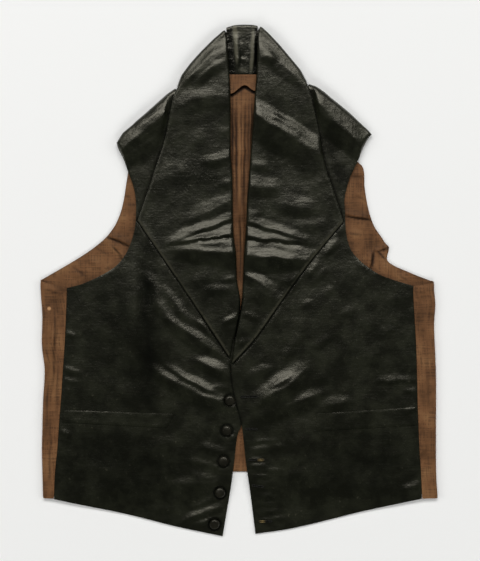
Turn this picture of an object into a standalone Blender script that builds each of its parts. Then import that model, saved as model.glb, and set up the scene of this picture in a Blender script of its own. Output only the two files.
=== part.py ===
"""A long-collared satin waistcoat laid flat on its back, front up, as its sewn pieces.

X is across, +X to the wearer's left, Y runs up to the neck and Z is up from the surface.
Left and right in names are as seen from the front. All tables are in millimetres.
Each panel is a flat pattern, filled with triangles and laid: past a fold the pattern runs
on, and laying it turns that part round the fold's radius. The brown back wraps round both
sides to the front seams. The shawl collar rolls over at its inner edges, and its outer
edges fold round the neck so that its fall lies underneath.
"""

import math

import bmesh
import bpy
import numpy as np
from mathutils import Vector
from mathutils.geometry import delaunay_2d_cdt

MM = 0.001

SATIN = (0.009, 0.009, 0.006)
BROWN = (0.130, 0.072, 0.034)
SATIN_ROUGHNESS = 0.45
COTTON_ROUGHNESS = 0.8
BUTTON_ROUGHNESS = 0.4

# Walls, and the air that is kept between layers and at seams.
BACK_WALL = 1.2
LINING_WALL = 1.0
FRONT_WALL = 2.0
COLLAR_WALL = 2.0
STAND_WALL = 1.6
BAND_WALL = 1.0
WELT_WALL = 1.0
LAYER_GAP = 0.5
SEAM_GAP = 0.4

# Radii of the outer faces round the folds.
SIDE_FOLD_RADIUS = 2.6
COLLAR_FOLD_RADIUS = 5.1
ROLL_RADIUS = 3.5
STAND_FOLD_RADIUS = 3.0

# The back and what lies on it rise over the collar's fall between these two heights.
LIFT = 2.5
LIFT_START_Y = 172.0
LIFT_END_Y = 235.0

# Heights of the upper faces above the surface, where nothing lifts them.
BACK_TOP = BACK_WALL
LINING_TOP = BACK_TOP + LAYER_GAP + LINING_WALL
FRONT_TOP = LINING_TOP + LAYER_GAP + FRONT_WALL
LAPEL_TOP = FRONT_TOP + LAYER_GAP + COLLAR_WALL
SHOULDER_FLOOR_GAP = 0.9

NECK_Y = 260.5
STAND_BASE_Y = 261.3
STAND_END_Y = 319.3
FALL_TOP_Y = 318.9
CENTRE_BACK_X = 5.5
RETURN_WIDTH = 12.0
LAPEL_TIP_Y = {"left": -99.0, "right": -107.0}
EDGE_GAP = 0.35
FRONT_INSET = 16.6

# The lower hem of the back: centre height, and how far it falls to the side folds.
HEM_CENTRE = (2.5, -242.5)
HEM_FALL = 33.5
HEM_REACH = 250.0
DROP_RUN = 27.0

# How far layers end inside the outer lines of the shoulder's fold and the collar's fold,
# and how far along the shoulder they run.
SHOULDER_INSET = {"back": 4.2, "lining": 6.6}
SHOULDER_SHARE = {"back": 0.97, "lining": 0.9}
COLLAR_INSET = {"back": 8.5, "lining": 9.5, "front": 10.5}
NECK_CORNER_X = {"back": 46.0, "lining": 45.0}

# Spacing of the points that fill each panel, and along its outline.
GRID = {"back": 32, "lining": 34, "front": 20, "collar": 17, "small": 9}
ARMHOLE_STEP = 13
FOLD_STEP = 1.6

BUTTON_SIDES = 16

# Rows of x, y down each edge.
ARMHOLE_BACK = {
    "left": [
        (-139, 150), (-141, 136), (-143.5, 120), (-146, 103.5), (-150, 87), (-155, 74.5),
        (-159.5, 66.5), (-169, 54.5), (-183, 42.5), (-199.5, 31), (-221, 18), (-248, 2.5),
    ],
    "right": [
        (147.5, 153), (157.5, 143), (159.5, 117.5), (164.5, 89.5), (171.5, 69), (181.5, 54),
        (186, 47), (190.5, 42), (188.5, 25), (217, 10), (243.5, -0.5),
    ],
}
SIDE_FOLD = {
    "left": [
        (-252, 1), (-251.5, -14.5), (-249.5, -45), (-250, -82), (-246.5, -113.5),
        (-248.5, -152), (-249.5, -190), (-250, -215.5), (-248.5, -276),
    ],
    "right": [
        (247.5, -1), (247.5, -12), (249, -30), (247.5, -56.5), (249, -94.5),
        (250, -126.5), (250, -240.5), (252, -276),
    ],
}
SIDE_SEAM = {
    "left": [
        (-218, -9.5), (-218, -14.5), (-220.5, -75.5), (-223, -113.5), (-225.5, -152),
        (-228, -182), (-230, -212.5), (-233, -243), (-234.5, -276.5),
    ],
    "right": [
        (221, -7), (220.5, -14.5), (224, -75.5), (225.5, -121.5), (226.5, -164.5),
        (228.5, -212.5), (230.5, -243), (232, -276.5),
    ],
}
ARMHOLE_FRONT = {
    "left": [
        (-155, 174.5), (-153.5, 168.5), (-146, 153), (-140, 136.5), (-133.5, 118.5),
        (-130.5, 99.5), (-130.5, 82), (-132, 65.5), (-136.5, 49), (-144, 32.5), (-155, 19),
        (-170, 9), (-188, 0), (-202, -5.5), (-218, -9.5),
    ],
    "right": [
        (168.5, 185.5), (165, 182), (157.5, 168.5), (150.5, 151), (141, 131.5), (136, 115),
        (133.5, 102), (134, 89.5), (136, 58), (142, 38.5), (153.5, 25), (166.5, 14.5),
        (179, 7), (192, 2), (204.5, -2), (221, -7),
    ],
}
FRONT_HEM = {
    "left": [(-234.5, -277), (-214.5, -281.5), (-142, -296.5), (-80, -312), (-20.5, -324.5)],
    "right": [(232, -276.5), (162.5, -291.5), (69.5, -314), (20.5, -321.5)],
}
# The free front edges, from the lapels' tips down. The two meet along a line of their own.
FRONT_EDGE = {
    "left": [
        (-11, -107.5), (-8.5, -134), (-2.5, -159.5), (3, -182), (-2, -197.5), (-5.5, -228),
        (-9.5, -258.5), (-14.5, -289), (-20.5, -324.5),
    ],
    "right": [
        (-11, -107.5), (-8.5, -134), (-2.5, -159.5), (3, -182), (5.5, -202.5), (9, -234.5),
        (12.5, -258.5), (16.5, -289), (20.5, -321.5),
    ],
}
ROLL_EDGE = {
    "left": [
        (-16.5, 320.5), (-11.5, 261), (-10, 229), (-9.8, 165.5), (-7.5, 127.5), (-6.5, 64),
        (-3, 31), (-2, 0.5), (2, -27.5), (-2.5, -59), (-7, -79.5), (-10, -98.5), (-11, -107.5),
    ],
    "right": [
        (24, 320.5), (21.5, 259.5), (19, 229), (16.5, 199), (15, 172), (12.5, 138), (10, 107.5),
        (8.5, 70.5), (5.5, 31), (4.5, 0.5), (3, -27.5), (-2.5, -59), (-7, -79.5), (-10, -98.5),
        (-11, -107.5),
    ],
}
LAPEL_EDGE = {
    "left": [
        [(-78.5, 245.5), (-84, 229), (-94, 178.5), (-106.5, 140.5), (-117, 108.5), (-128.5, 76)],
        [(-128.5, 76), (-68, -13), (-12.5, -96.5)],
    ],
    "right": [
        [(86.5, 251), (90, 238), (103, 178.5), (110.5, 140.5), (117, 121.5), (125.5, 96), (132, 74.5)],
        [(132, 74.5), (90, 23.5), (52, -28.5), (20.5, -73), (-7.5, -104)],
    ],
}
# The folds that a side ends in: the straight line between their ends, and how far the
# fold stands outside it, in rows of distance along it and that width.
COLLAR_FOLD = {
    "left": {
        "start": (-19.0, 317.5), "end": (-78.5, 245.5),
        "bulge": [(0, 0), (18, 3), (40, 5.2), (60, 6), (79, 5), (93, 0)],
    },
    "right": {
        "start": (28, 322), "end": (86.5, 251),
        "bulge": [(0, 0), (13, 2), (34, 3.3), (54, 3.4), (74, 3.5), (92, 0)],
    },
}
SHOULDER_FOLD = {
    "left": {
        "start": (-78.5, 245.5), "end": (-152, 182),
        "bulge": [(0, 0), (15, 1.8), (49, 1.2), (72, 0.5), (97, 0)],
    },
    "right": {
        "start": (86.5, 251), "end": (167.5, 187.5),
        "bulge": [(0, 0), (15, 3.2), (41, 3.7), (65, 3.4), (87, 1.3), (103, 0)],
    },
}
STAND_TOP_EDGE = [(-16.2, 320.8), (-6, 323.8), (5, 324.5), (17, 324.3), (25, 322.6)]
FALL_EDGE = {
    "left": [(-74, 243), (-50, 240.2), (-20, 239), (CENTRE_BACK_X - 0.3, 239)],
    "right": [(82, 248), (56, 242.2), (26, 239.4), (CENTRE_BACK_X + 0.3, 239)],
}
BAND_EDGE = [(-19, 234.5), (-8, 237), (7, 247), (18, 240.5), (28, 238)]

# Rows of y and height: how far the collar swells towards its rolled inner edge.
ROLL_RISE = [(-110, 0.7), (-80, 1.8), (-60, 2.8), (-20, 3.0), (198, 3.0), (232, 4.2), (330, 4.2)]
ROLL_RISE_WIDTH = 32.0

# Soft raised folds: x and y of both ends, half the width, and the height.
LINING_FOLDS = [
    (2, 232, 2.5, 52, 6.5, 1.3),
    (-162, 63, -147, 56, 5.5, 1.3),
    (-168, 47, -158, 33, 5.5, 1.2),
    (143, 84, 163, 79.5, 5.5, 1.3),
    (172, 27, 178, 45, 5.5, 1.3),
]
FRONT_FOLDS = {
    "left": [
        (-98, -121, -30, -151, 13, 2.4),
        (-84, -108, -28, -139, 9, 1.6),
        (-112, -12, -66, -78, 14, 1.8),
        (-150, 30, -176, -60, 16, 2.0),
    ],
    "right": [
        (26, -147, 78, -100, 12, 2.4),
        (28, -176, 92, -140, 11, 1.6),
        (95, 10, 140, -52, 15, 1.8),
        (150, 15, 172, -70, 16, 2.0),
    ],
}
COLLAR_FOLDS = {
    "left": [
        (-98, 62, -24, 84, 15, 2.6),
        (-72, 44, -22, 58, 10, 1.6),
        (-52, 262, -26, 250, 11, 1.8),
        (-46, 0, -16, 22, 10, 1.6),
        (-70, 178, -24, 190, 12, 1.8),
        (-84, 130, -26, 146, 12, 1.5),
    ],
    "right": [
        (30, 216, 92, 170, 14, 2.6),
        (30, 122, 62, 146, 11, 1.6),
        (26, 58, 72, 38, 12, 2.0),
        (60, 252, 36, 270, 11, 1.6),
        (36, 4, 60, -18, 10, 1.4),
    ],
}

# Pocket welts: x and y of the outer and inner ends of the upper line, then of the lower.
WELTS = {
    "left": [(-221.5, -164), (-82, -169), (-91.5, -186.5), (-223.5, -179.5)],
    "right": [(223, -160.5), (98, -168.5), (98, -190.5), (223.5, -183.5)],
}
BUTTONS = [(-11.5, -152), (-15.5, -190), (-19.5, -229), (-24, -269), (-31, -309)]
# The button's turned outline: radius and height.
BUTTON_OUTLINE = [(5.4, 0), (6.75, 1.2), (6.3, 2.8), (4.5, 3.8), (2.2, 4.3)]
BUTTON_HEIGHT = 4.4


def smooth(t):
    t = min(max(t, 0.0), 1.0)
    return t * t * (3 - 2 * t)


def read_row(rows, at):
    """The second column at a value of the first one."""
    first, second = zip(*sorted(rows))
    return float(np.interp(at, first, second))


def curve(rows, step):
    """Points about a step apart on a smooth curve through the rows."""
    points = [Vector(row) for row in rows]
    ends = [2 * points[0] - points[1], 2 * points[-1] - points[-2]]
    points = [ends[0], *points, ends[1]]
    made = []
    for before, a, b, after in zip(points, points[1:], points[2:], points[3:]):
        length = (b - a).length
        lead = (b - before) * length / ((b - a).length + (a - before).length)
        trail = (after - a) * length / ((after - b).length + (b - a).length)
        count = max(1, round(length / step))
        for i in range(count):
            t = i / count
            made.append(
                (2 * t**3 - 3 * t**2 + 1) * a
                + (t**3 - 2 * t**2 + t) * lead
                + (3 * t**2 - 2 * t**3) * b
                + (t**3 - t**2) * trail
            )
    return made + [points[-2]]


def side_of(run, by):
    """The run of points moved to the left of its direction."""
    moved = []
    for i, point in enumerate(run):
        along = run[min(i + 1, len(run) - 1)] - run[max(i - 1, 0)]
        moved.append(point + by * Vector((-along.y, along.x)).normalized())
    return moved


def closed_outline(*runs):
    """One outline from runs of points, without points that nearly repeat."""
    outline = []
    for point in (point for run in runs for point in run):
        if not outline or (point - outline[-1]).length > 0.25:
            outline.append(point)
    while (outline[0] - outline[-1]).length < 0.25:
        outline.pop()
    return outline


def dense(table):
    """The table's curves as x for each y, one for each side."""
    made = {}
    for side, rows in table.items():
        points = sorted(curve(rows, 3), key=lambda point: point.y)
        made[side] = (np.array([p.y for p in points]), np.array([p.x for p in points]))
    return made


ROLL_LINE = dense(ROLL_EDGE)
SIDE_LINE = dense(SIDE_FOLD)
OUTWARD = {"left": -1, "right": 1}


def x_on(line, side, y):
    return float(np.interp(y, *line[side]))


def roll_x(side, y):
    """The outermost line of the collar's rolled inner edge."""
    return x_on(ROLL_LINE, side, y) + OUTWARD[side] * EDGE_GAP


def lift(y):
    return LIFT * smooth((y - LIFT_START_Y) / (LIFT_END_Y - LIFT_START_Y))


def hem_y(x):
    return HEM_CENTRE[1] - HEM_FALL * (abs(x - HEM_CENTRE[0]) / HEM_REACH) ** 1.6


def folds_height(rows, x, y):
    """The height that the raised folds give a point."""
    height = 0.0
    point = Vector((x, y))
    for x1, y1, x2, y2, half, rise in rows:
        start, end = Vector((x1, y1)), Vector((x2, y2))
        along = end - start
        t = (point - start).dot(along) / along.length_squared
        apart = (point - start - min(max(t, 0), 1) * along).length
        if apart < half and 0 < t < 1:
            height += rise * (1 - (apart / half) ** 2) ** 2 * smooth(min(t, 1 - t) * 3.2)
    return height


def chest(x, y):
    """The low swell of each front over the chest."""
    return 3.0 * math.exp(-(((abs(x) - 112) / 66) ** 2) - ((y + 55) / 125) ** 2)


def bent(past, radius):
    """Where a point past a fold's outer line comes to lie: its place, and its turn."""
    arc = past + radius
    if arc <= 0:
        return past, 0.0
    turn = min(arc / radius, math.pi)
    return radius * math.sin(turn) - radius - max(0.0, arc - math.pi * radius), turn


def past_fold(fold, x, y):
    """How far a point is past a fold's outer line, how far along it, and its outward way."""
    start, end = Vector(fold["start"]), Vector(fold["end"])
    along = (end - start).normalized()
    out = Vector((along.y, -along.x))
    if out.y < 0:
        out = -out
    offset = Vector((x, y)) - start
    t = offset.dot(along)
    return offset.dot(out) - read_row(fold["bulge"], t), t, out


def unfolded(fold, radius, point):
    """The pattern's point that comes to lie at this one, underneath the fold."""
    past, _, out = past_fold(fold, *point)
    return Vector(point) + out * ((math.pi - 2) * radius - 2 * past)


def lining_top(y):
    return LINING_TOP + lift(y)


def front_top(side, x, y):
    """The front's upper face: on the lining, and down to the surface below the back's hem."""
    down = smooth((hem_y(x) - y + 1) / DROP_RUN)
    under_collar = smooth(lapel_cover(side, x, y) / 8)
    height = FRONT_TOP + lift(y) - (FRONT_TOP - FRONT_WALL) * down + chest(x, y) * (1 - down)
    return height + folds_height(FRONT_FOLDS[side], x, y) * under_collar * (1 - down)


def lapel_cover(side, x, y):
    """How far a point of the front lies outside the lapel's edge, or 0 under it."""
    rows = LAPEL_EDGE[side][0][:-1] + LAPEL_EDGE[side][1]
    low, high = rows[-1][1], rows[0][1]
    if y >= high:
        return 0.0
    edge = read_row([(row[1], row[0]) for row in rows], max(y, low))
    outside = (x - edge) * OUTWARD[side] - 3
    below = (low - y) - 3 if y < low else 0.0
    return max(outside, below, 0.0) if outside < 0 or y >= low else math.hypot(outside, below)


def inside(outline, point):
    x, y = point
    found = False
    for a, b in zip(outline, outline[1:] + outline[:1]):
        if (a.y > y) != (b.y > y) and x < a.x + (y - a.y) * (b.x - a.x) / (b.y - a.y):
            found = not found
    return found


def clearance(outline, point):
    """The distance from a point to the outline."""
    starts = np.array(outline)
    ends = np.roll(starts, -1, axis=0)
    run = ends - starts
    t = ((np.array(point) - starts) * run).sum(1) / (run * run).sum(1)
    nearest = starts + np.clip(t, 0, 1)[:, None] * run
    return float(np.linalg.norm(nearest - np.array(point), axis=1).min())


def fold_lines(rows, step=13):
    """The crest and both feet of each raised fold, as lines for the triangles to follow."""
    lines = []
    for x1, y1, x2, y2, half, _ in rows:
        start, end = Vector((x1, y1)), Vector((x2, y2))
        aside = Vector((y1 - y2, x2 - x1)).normalized() * half
        count = max(2, round((end - start).length / step))
        for shift in (-1.0, -0.5, 0.0, 0.5, 1.0):
            lines.append([start.lerp(end, i / count) + shift * aside for i in range(count + 1)])
    return lines


def cut(name, outline, lay, wall, grid, colour, rough, lines=(), turned=False):
    """A panel: its pattern filled with triangles, each point laid, then given its wall."""
    points = list(outline)
    edges = [(i, (i + 1) % len(outline)) for i in range(len(outline))]
    for line in lines:
        last = None
        for point in line:
            kept = inside(outline, point) and clearance(outline, point) > 1.2
            if kept and all((point - other).length > 1.0 for other in points):
                points.append(point)
                if last is not None:
                    edges.append((last, len(points) - 1))
                last = len(points) - 1
            else:
                last = None
    set_points = np.array(points)
    low, high = set_points.min(0), set_points.max(0)
    rows = int((high[1] - low[1]) / (grid * 0.866)) + 2
    columns = int((high[0] - low[0]) / grid) + 2
    for row in range(rows):
        for column in range(columns):
            spot = Vector((low[0] + (column + 0.5 * (row % 2)) * grid, low[1] + row * grid * 0.866))
            near = np.linalg.norm(set_points - np.array(spot), axis=1).min()
            if near > 0.62 * grid and inside(outline, spot) and clearance(outline, spot) > 0.45 * grid:
                points.append(spot)
    flat, _, faces, *_ = delaunay_2d_cdt(points, edges, [list(range(len(outline)))], 1, 1e-3)
    mesh = bpy.data.meshes.new(name)
    model = bmesh.new()
    corners = [model.verts.new(Vector(lay(point.x, point.y)) * MM) for point in flat]
    for face in faces:
        model.faces.new([corners[i] for i in (reversed(face) if turned else face)])
    loose = [corner for corner in model.verts if not corner.link_faces]
    bmesh.ops.delete(model, geom=loose, context="VERTS")
    model.to_mesh(mesh)
    model.free()
    mesh.shade_smooth()
    mesh.set_sharp_from_angle(angle=math.radians(50))
    piece = bpy.data.objects.new(name, mesh)
    bpy.context.scene.collection.objects.link(piece)
    solid = piece.modifiers.new("wall", "SOLIDIFY")
    solid.thickness = wall * MM
    solid.offset = -1
    solid.use_even_offset = True
    solid.use_quality_normals = True
    finish(piece, colour, rough)


def finish(piece, colour, rough):
    """The piece's own material."""
    material = bpy.data.materials.new(piece.name)
    material.use_nodes = True
    shader = material.node_tree.nodes["Principled BSDF"]
    shader.inputs["Base Color"].default_value = (*colour, 1)
    shader.inputs["Roughness"].default_value = rough
    shader.inputs["Metallic"].default_value = 0.0
    material.diffuse_color = (*colour, 1)
    piece.data.materials.append(material)


def strip_x(side, x, y):
    """The pattern's x for a point of the back that is folded over to the front."""
    fold = x_on(SIDE_LINE, side, y)
    inward = (fold - x) * OUTWARD[side]
    return fold + OUTWARD[side] * ((math.pi - 2) * SIDE_FOLD_RADIUS + inward)


def back_side(side):
    """One side of the back's pattern, from the neck to the hem's fold."""
    away = OUTWARD[side]
    fold = SHOULDER_FOLD[side]
    seam = curve(SIDE_SEAM[side], 24)
    top_y, hem = SIDE_FOLD[side][0][1] - 0.5, SIDE_FOLD[side][-1][1]
    shoulder = inner_edge(fold, SHOULDER_INSET["back"], 20, SHOULDER_SHARE["back"])
    strip = [Vector((strip_x(side, p.x + SEAM_GAP / 2 * away, p.y), p.y)) for p in seam]
    top = x_on(SIDE_LINE, side, top_y)
    bottom = x_on(SIDE_LINE, side, hem)
    reach = away * SIDE_FOLD_RADIUS * (math.pi - 1)
    flat = away * SIDE_FOLD_RADIUS
    round_top = [(top - flat, top_y + 1.2), (top + flat, top_y - 1), (top + reach, top_y - 2)]
    round_hem = [(bottom + reach, hem), (bottom + flat, hem), (bottom - flat, hem)]
    return [
        [Vector((away * NECK_CORNER_X["back"], NECK_Y))],
        under_fold(side, COLLAR_INSET["back"]),
        shoulder,
        curve(ARMHOLE_BACK[side], ARMHOLE_STEP),
        curve(round_top, FOLD_STEP),
        strip,
        curve(round_hem, FOLD_STEP),
    ]


def under_fold(side, inset):
    """The edge of a layer inside the collar's fold, from the neck to the notch."""
    line = inner_edge(COLLAR_FOLD[side], inset, 14, 0.97)
    return [point for point in line if point.y < NECK_Y - 1]


def inner_edge(fold, inset, step, last):
    """A line inside a fold's outer line, from near its start to this share of its length."""
    start, end = Vector(fold["start"]), Vector(fold["end"])
    along = (end - start).normalized()
    length = (end - start).length
    _, _, out = past_fold(fold, *start)
    made = []
    for share in np.linspace(0.1, last, round(length / step) + 1):
        t = length * share
        made.append(start + along * t + out * (read_row(fold["bulge"], t) - inset))
    return made


def side_rows(side, step):
    """Lines along the turn at the side, for a round fold."""
    lines = []
    for turn in range(7):
        past = SIDE_FOLD_RADIUS * (math.pi * turn / 6 - 1)
        line = []
        for y in np.arange(SIDE_FOLD[side][-1][1] + 3, SIDE_FOLD[side][0][1] - 4, step):
            line.append(Vector((x_on(SIDE_LINE, side, y) + OUTWARD[side] * past, y)))
        lines.append(line)
    return lines


def make_back():
    """The brown back, with both sides folded over to the seams of the fronts."""
    left = back_side("left")
    right = [run[::-1] for run in back_side("right")[::-1]]
    hem = [Vector((x, hem_y(x))) for x in np.linspace(-235, 235, 24)]
    outline = closed_outline(*left, hem, *right)

    def lay(x, y):
        side = "left" if x < 0 else "right"
        away = OUTWARD[side]
        fold = x_on(SIDE_LINE, side, y)
        past = (x - fold) * away
        place, turn = bent(past, SIDE_FOLD_RADIUS)
        return fold + place * away, y, lift(y) + SIDE_FOLD_RADIUS * (1 - math.cos(turn))

    lines = side_rows("left", 23) + side_rows("right", 23) + lift_rows(-155, 165, 27)
    cut("back", outline, lay, BACK_WALL, GRID["back"], BROWN, COTTON_ROUGHNESS, lines, turned=True)


def lift_rows(low_x, high_x, step):
    """Lines across the rise over the collar's fall."""
    return [
        [Vector((x, y)) for x in np.arange(low_x, high_x, step)]
        for y in np.linspace(LIFT_START_Y, LIFT_END_Y, 5)
    ]


def make_lining():
    """The back's lining, which shows in the neck, the armholes and between the fronts."""
    runs = {}
    for side in ("left", "right"):
        away = OUTWARD[side]
        armhole = side_of(curve(ARMHOLE_BACK[side], ARMHOLE_STEP), -away)
        down = [
            Vector((x_on(SIDE_LINE, side, y) - away * 4.8, y)) for y in np.linspace(-5, -270, 14)
        ]
        neck = Vector((away * NECK_CORNER_X["lining"], NECK_Y))
        shoulder = inner_edge(
            SHOULDER_FOLD[side], SHOULDER_INSET["lining"], 20, SHOULDER_SHARE["lining"]
        )
        drop = [shoulder[-1].lerp(armhole[0], i / 5) for i in range(1, 5)]
        collar = under_fold(side, COLLAR_INSET["lining"])
        runs[side] = [[neck], collar, shoulder, drop, armhole, down]
    right = [run[::-1] for run in runs["right"][::-1]]
    hem = [Vector((x, hem_y(x) + 1)) for x in np.linspace(-235, 235, 24)]
    outline = closed_outline(*runs["left"], hem, *right)

    def lay(x, y):
        return x, y, lining_top(y) + folds_height(LINING_FOLDS, x, y)

    lines = fold_lines(LINING_FOLDS) + lift_rows(-155, 165, 27)
    cut("back_lining", outline, lay, LINING_WALL, GRID["lining"], BROWN, COTTON_ROUGHNESS, lines)


def front_inset(side, y):
    """How far the front's inner edge keeps from the roll edge, so that the roll fits beside it."""
    return EDGE_GAP + FRONT_INSET * smooth((y - LAPEL_TIP_Y[side] - 6) / 45)


def shoulder_radius(y):
    return FRONT_TOP + lift(y) - SHOULDER_FLOOR_GAP


def make_front(side):
    """A satin front: its shoulder turns down, and it lies on the lining and past its hem."""
    away = OUTWARD[side]
    fold = SHOULDER_FOLD[side]
    start, end = Vector(fold["start"]), Vector(fold["end"])
    along = (end - start).normalized()
    length = (end - start).length
    _, _, out = past_fold(fold, *start)

    def shoulder_point(t, turn):
        edge = start + along * t + out * read_row(fold["bulge"], t)
        return edge + out * shoulder_radius(edge.y) * (turn - 1)

    stations = np.linspace(3.2, length - 7, 10)
    rim = [shoulder_point(t, math.pi / 2) for t in stations]
    notch = [shoulder_point(stations[0], turn) for turn in (0, 0.4, 0.8, 1.2)]
    tip = [shoulder_point(length - 4, 1.4), shoulder_point(length - 1.5, 1.1)]
    covered = under_fold(side, COLLAR_INSET["front"])
    neck_x = covered[0].x - away * 3
    top = [Vector((neck_x, NECK_Y - 3.5))]
    inner = [
        Vector((roll_x(side, y) + away * front_inset(side, y), y))
        for y in np.linspace(NECK_Y - 3.5, LAPEL_TIP_Y[side] + 2, 36)
    ]
    edge = side_of(curve(FRONT_EDGE[side], 11), EDGE_GAP * away)
    hem = curve(FRONT_HEM[side], 14)[:-1]
    seam = [p - Vector((away * SEAM_GAP / 2, 0)) for p in curve(SIDE_SEAM[side], 15)]
    armhole = curve(ARMHOLE_FRONT[side], 8)
    outline = closed_outline(
        top, covered, notch, rim, tip, armhole, seam, hem, edge[::-1], inner[::-1],
    )
    if side == "right":
        outline = outline[::-1]

    def lay(x, y):
        past, _, way = past_fold(fold, x, y)
        height = front_top(side, x, y)
        if y < start.y + 12 and past > -12 and (Vector((x, y)) - start).dot(along) > 0:
            radius = shoulder_radius(y)
            place, turn = bent(past, radius)
            x, y = Vector((x, y)) + way * (place - past)
            height -= radius * (1 - math.cos(turn))
        return x, y, height

    lines = [[shoulder_point(t, turn) for t in stations] for turn in (0, 0.31, 0.63, 0.94, 1.26)]
    lines += fold_lines(FRONT_FOLDS[side]) + lift_rows(-150, 165, 21)
    for share in (0, 0.3, 0.6, 1):
        lines.append([
            Vector((x, hem_y(x) + 1 - DROP_RUN * share)) for x in np.arange(-220, 225, 15)
        ])
    cut("front_" + side, outline, lay, FRONT_WALL, GRID["front"], SATIN, SATIN_ROUGHNESS, lines)


def roll_reach(side, y):
    """How much cloth turns under at the collar's rolled inner edge."""
    full = math.pi * ROLL_RADIUS + RETURN_WIDTH
    near_tip = smooth((y - LAPEL_TIP_Y[side] - 20) / 48)
    near_top = 1 - smooth((y - 268) / 42)
    low = 0.25 * math.pi * ROLL_RADIUS if y < 0 else 0.5 * math.pi * ROLL_RADIUS
    return low + (full - low) * near_tip * near_top


def make_collar(side):
    """Half of the shawl collar: lapel, rolled inner edge, outer fold and fall."""
    away = OUTWARD[side]
    fold = COLLAR_FOLD[side]
    start = Vector(fold["start"])

    def lay(x, y):
        roll = roll_x(side, y)
        past = (roll - x) * away
        place, under = bent(past, ROLL_RADIUS)
        x = roll - away * place
        in_fold, t, out = past_fold(fold, x, y)
        swell = math.exp(-((max(0.0, -place - ROLL_RADIUS) / ROLL_RISE_WIDTH) ** 2))
        swell *= read_row(ROLL_RISE, y) * smooth((-in_fold - COLLAR_FOLD_RADIUS) / 20)
        top = LAPEL_TOP + lift(y) + chest(x, y) + swell
        clear = min(-place - ROLL_RADIUS, -in_fold - COLLAR_FOLD_RADIUS)
        top += folds_height(COLLAR_FOLDS[side], x, y) * smooth(clear / 12)
        drop = ROLL_RADIUS * (1 - math.cos(under))
        place, turn = bent(in_fold, COLLAR_FOLD_RADIUS)
        spot = Vector((x, y)) + out * (place - in_fold - drop * math.sin(turn))
        if turn > 0:
            top = 2 * COLLAR_FOLD_RADIUS + (top - 2 * COLLAR_FOLD_RADIUS) * smooth(1 - turn)
        return spot.x, spot.y, top - COLLAR_FOLD_RADIUS * (1 - math.cos(turn)) - drop * math.cos(turn)

    def turned_under(point):
        return unfolded(fold, COLLAR_FOLD_RADIUS, point)

    def fold_point(t, turn):
        along = (Vector(fold["end"]) - start).normalized()
        _, _, out = past_fold(fold, *start)
        edge = start + along * t + out * read_row(fold["bulge"], t)
        return edge + out * COLLAR_FOLD_RADIUS * (turn - 1)

    length = (Vector(fold["end"]) - start).length
    tip_y = LAPEL_TIP_Y[side]
    roll_heights = np.concatenate([
        np.arange(start.y - 7, 268, -4), np.arange(264, tip_y + 74, -10),
        np.arange(tip_y + 70, tip_y + 18, -4), np.arange(tip_y + 15, tip_y + 2, -6),
    ])
    roll = [
        Vector((roll_x(side, y) - away * (roll_reach(side, y) - ROLL_RADIUS), y))
        for y in roll_heights
    ]
    tip = [Vector((roll_x(side, tip_y + 3) + away * 1.2, tip_y + 2.2))]
    upper, lower = LAPEL_EDGE[side]
    fine = curve(upper, 2)
    edge = [p for i, p in enumerate(fine) if (p - fine[0]).length < 13 or i % 5 == 0]
    edge = (edge + curve(lower, 10))[::-1]
    at_notch = [fold_point(length, math.pi * i / 8) for i in range(3, 9)]
    free = [turned_under(point) for point in curve(FALL_EDGE[side], 14)]
    centre = CENTRE_BACK_X + 0.3 * away
    centre_back = [turned_under((centre, y)) for y in np.linspace(245, FALL_TOP_Y, 6)]
    top_x = np.linspace(centre, start.x + away * -4.5, 4)[1:]
    top = [turned_under((x, FALL_TOP_Y - 0.12 * abs(x - centre))) for x in top_x]
    at_top = [fold_point(0.3, math.pi * i / 8) for i in range(7, 0, -1)]
    outline = closed_outline(roll, tip, edge, at_notch, free, centre_back, top, at_top)
    if side == "left":
        outline = outline[::-1]
    stations = (*np.linspace(4, length - 8, 9), length - 3, length + 2, length + 6)
    heights = np.concatenate([
        np.arange(start.y - 12, 260, -5), np.arange(255, tip_y + 70, -12),
        np.arange(tip_y + 64, tip_y + 8, -6),
    ])
    lines = []
    for i in range(9):
        lines.append([fold_point(t, math.pi * i / 8) for t in stations])
        across = ROLL_RADIUS * (math.pi * i / 8 - 1)
        lines.append([Vector((roll_x(side, y) - away * across, y)) for y in heights])
    for line in fold_lines(COLLAR_FOLDS[side]) + lift_rows(-110, 115, 18):
        lines.append([
            p for p in line if (p.x - roll_x(side, p.y)) * away > 6 and past_fold(fold, *p)[0] < -8
        ])
    cut("collar_" + side, outline, lay, COLLAR_WALL, GRID["collar"], SATIN, SATIN_ROUGHNESS, lines)


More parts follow.
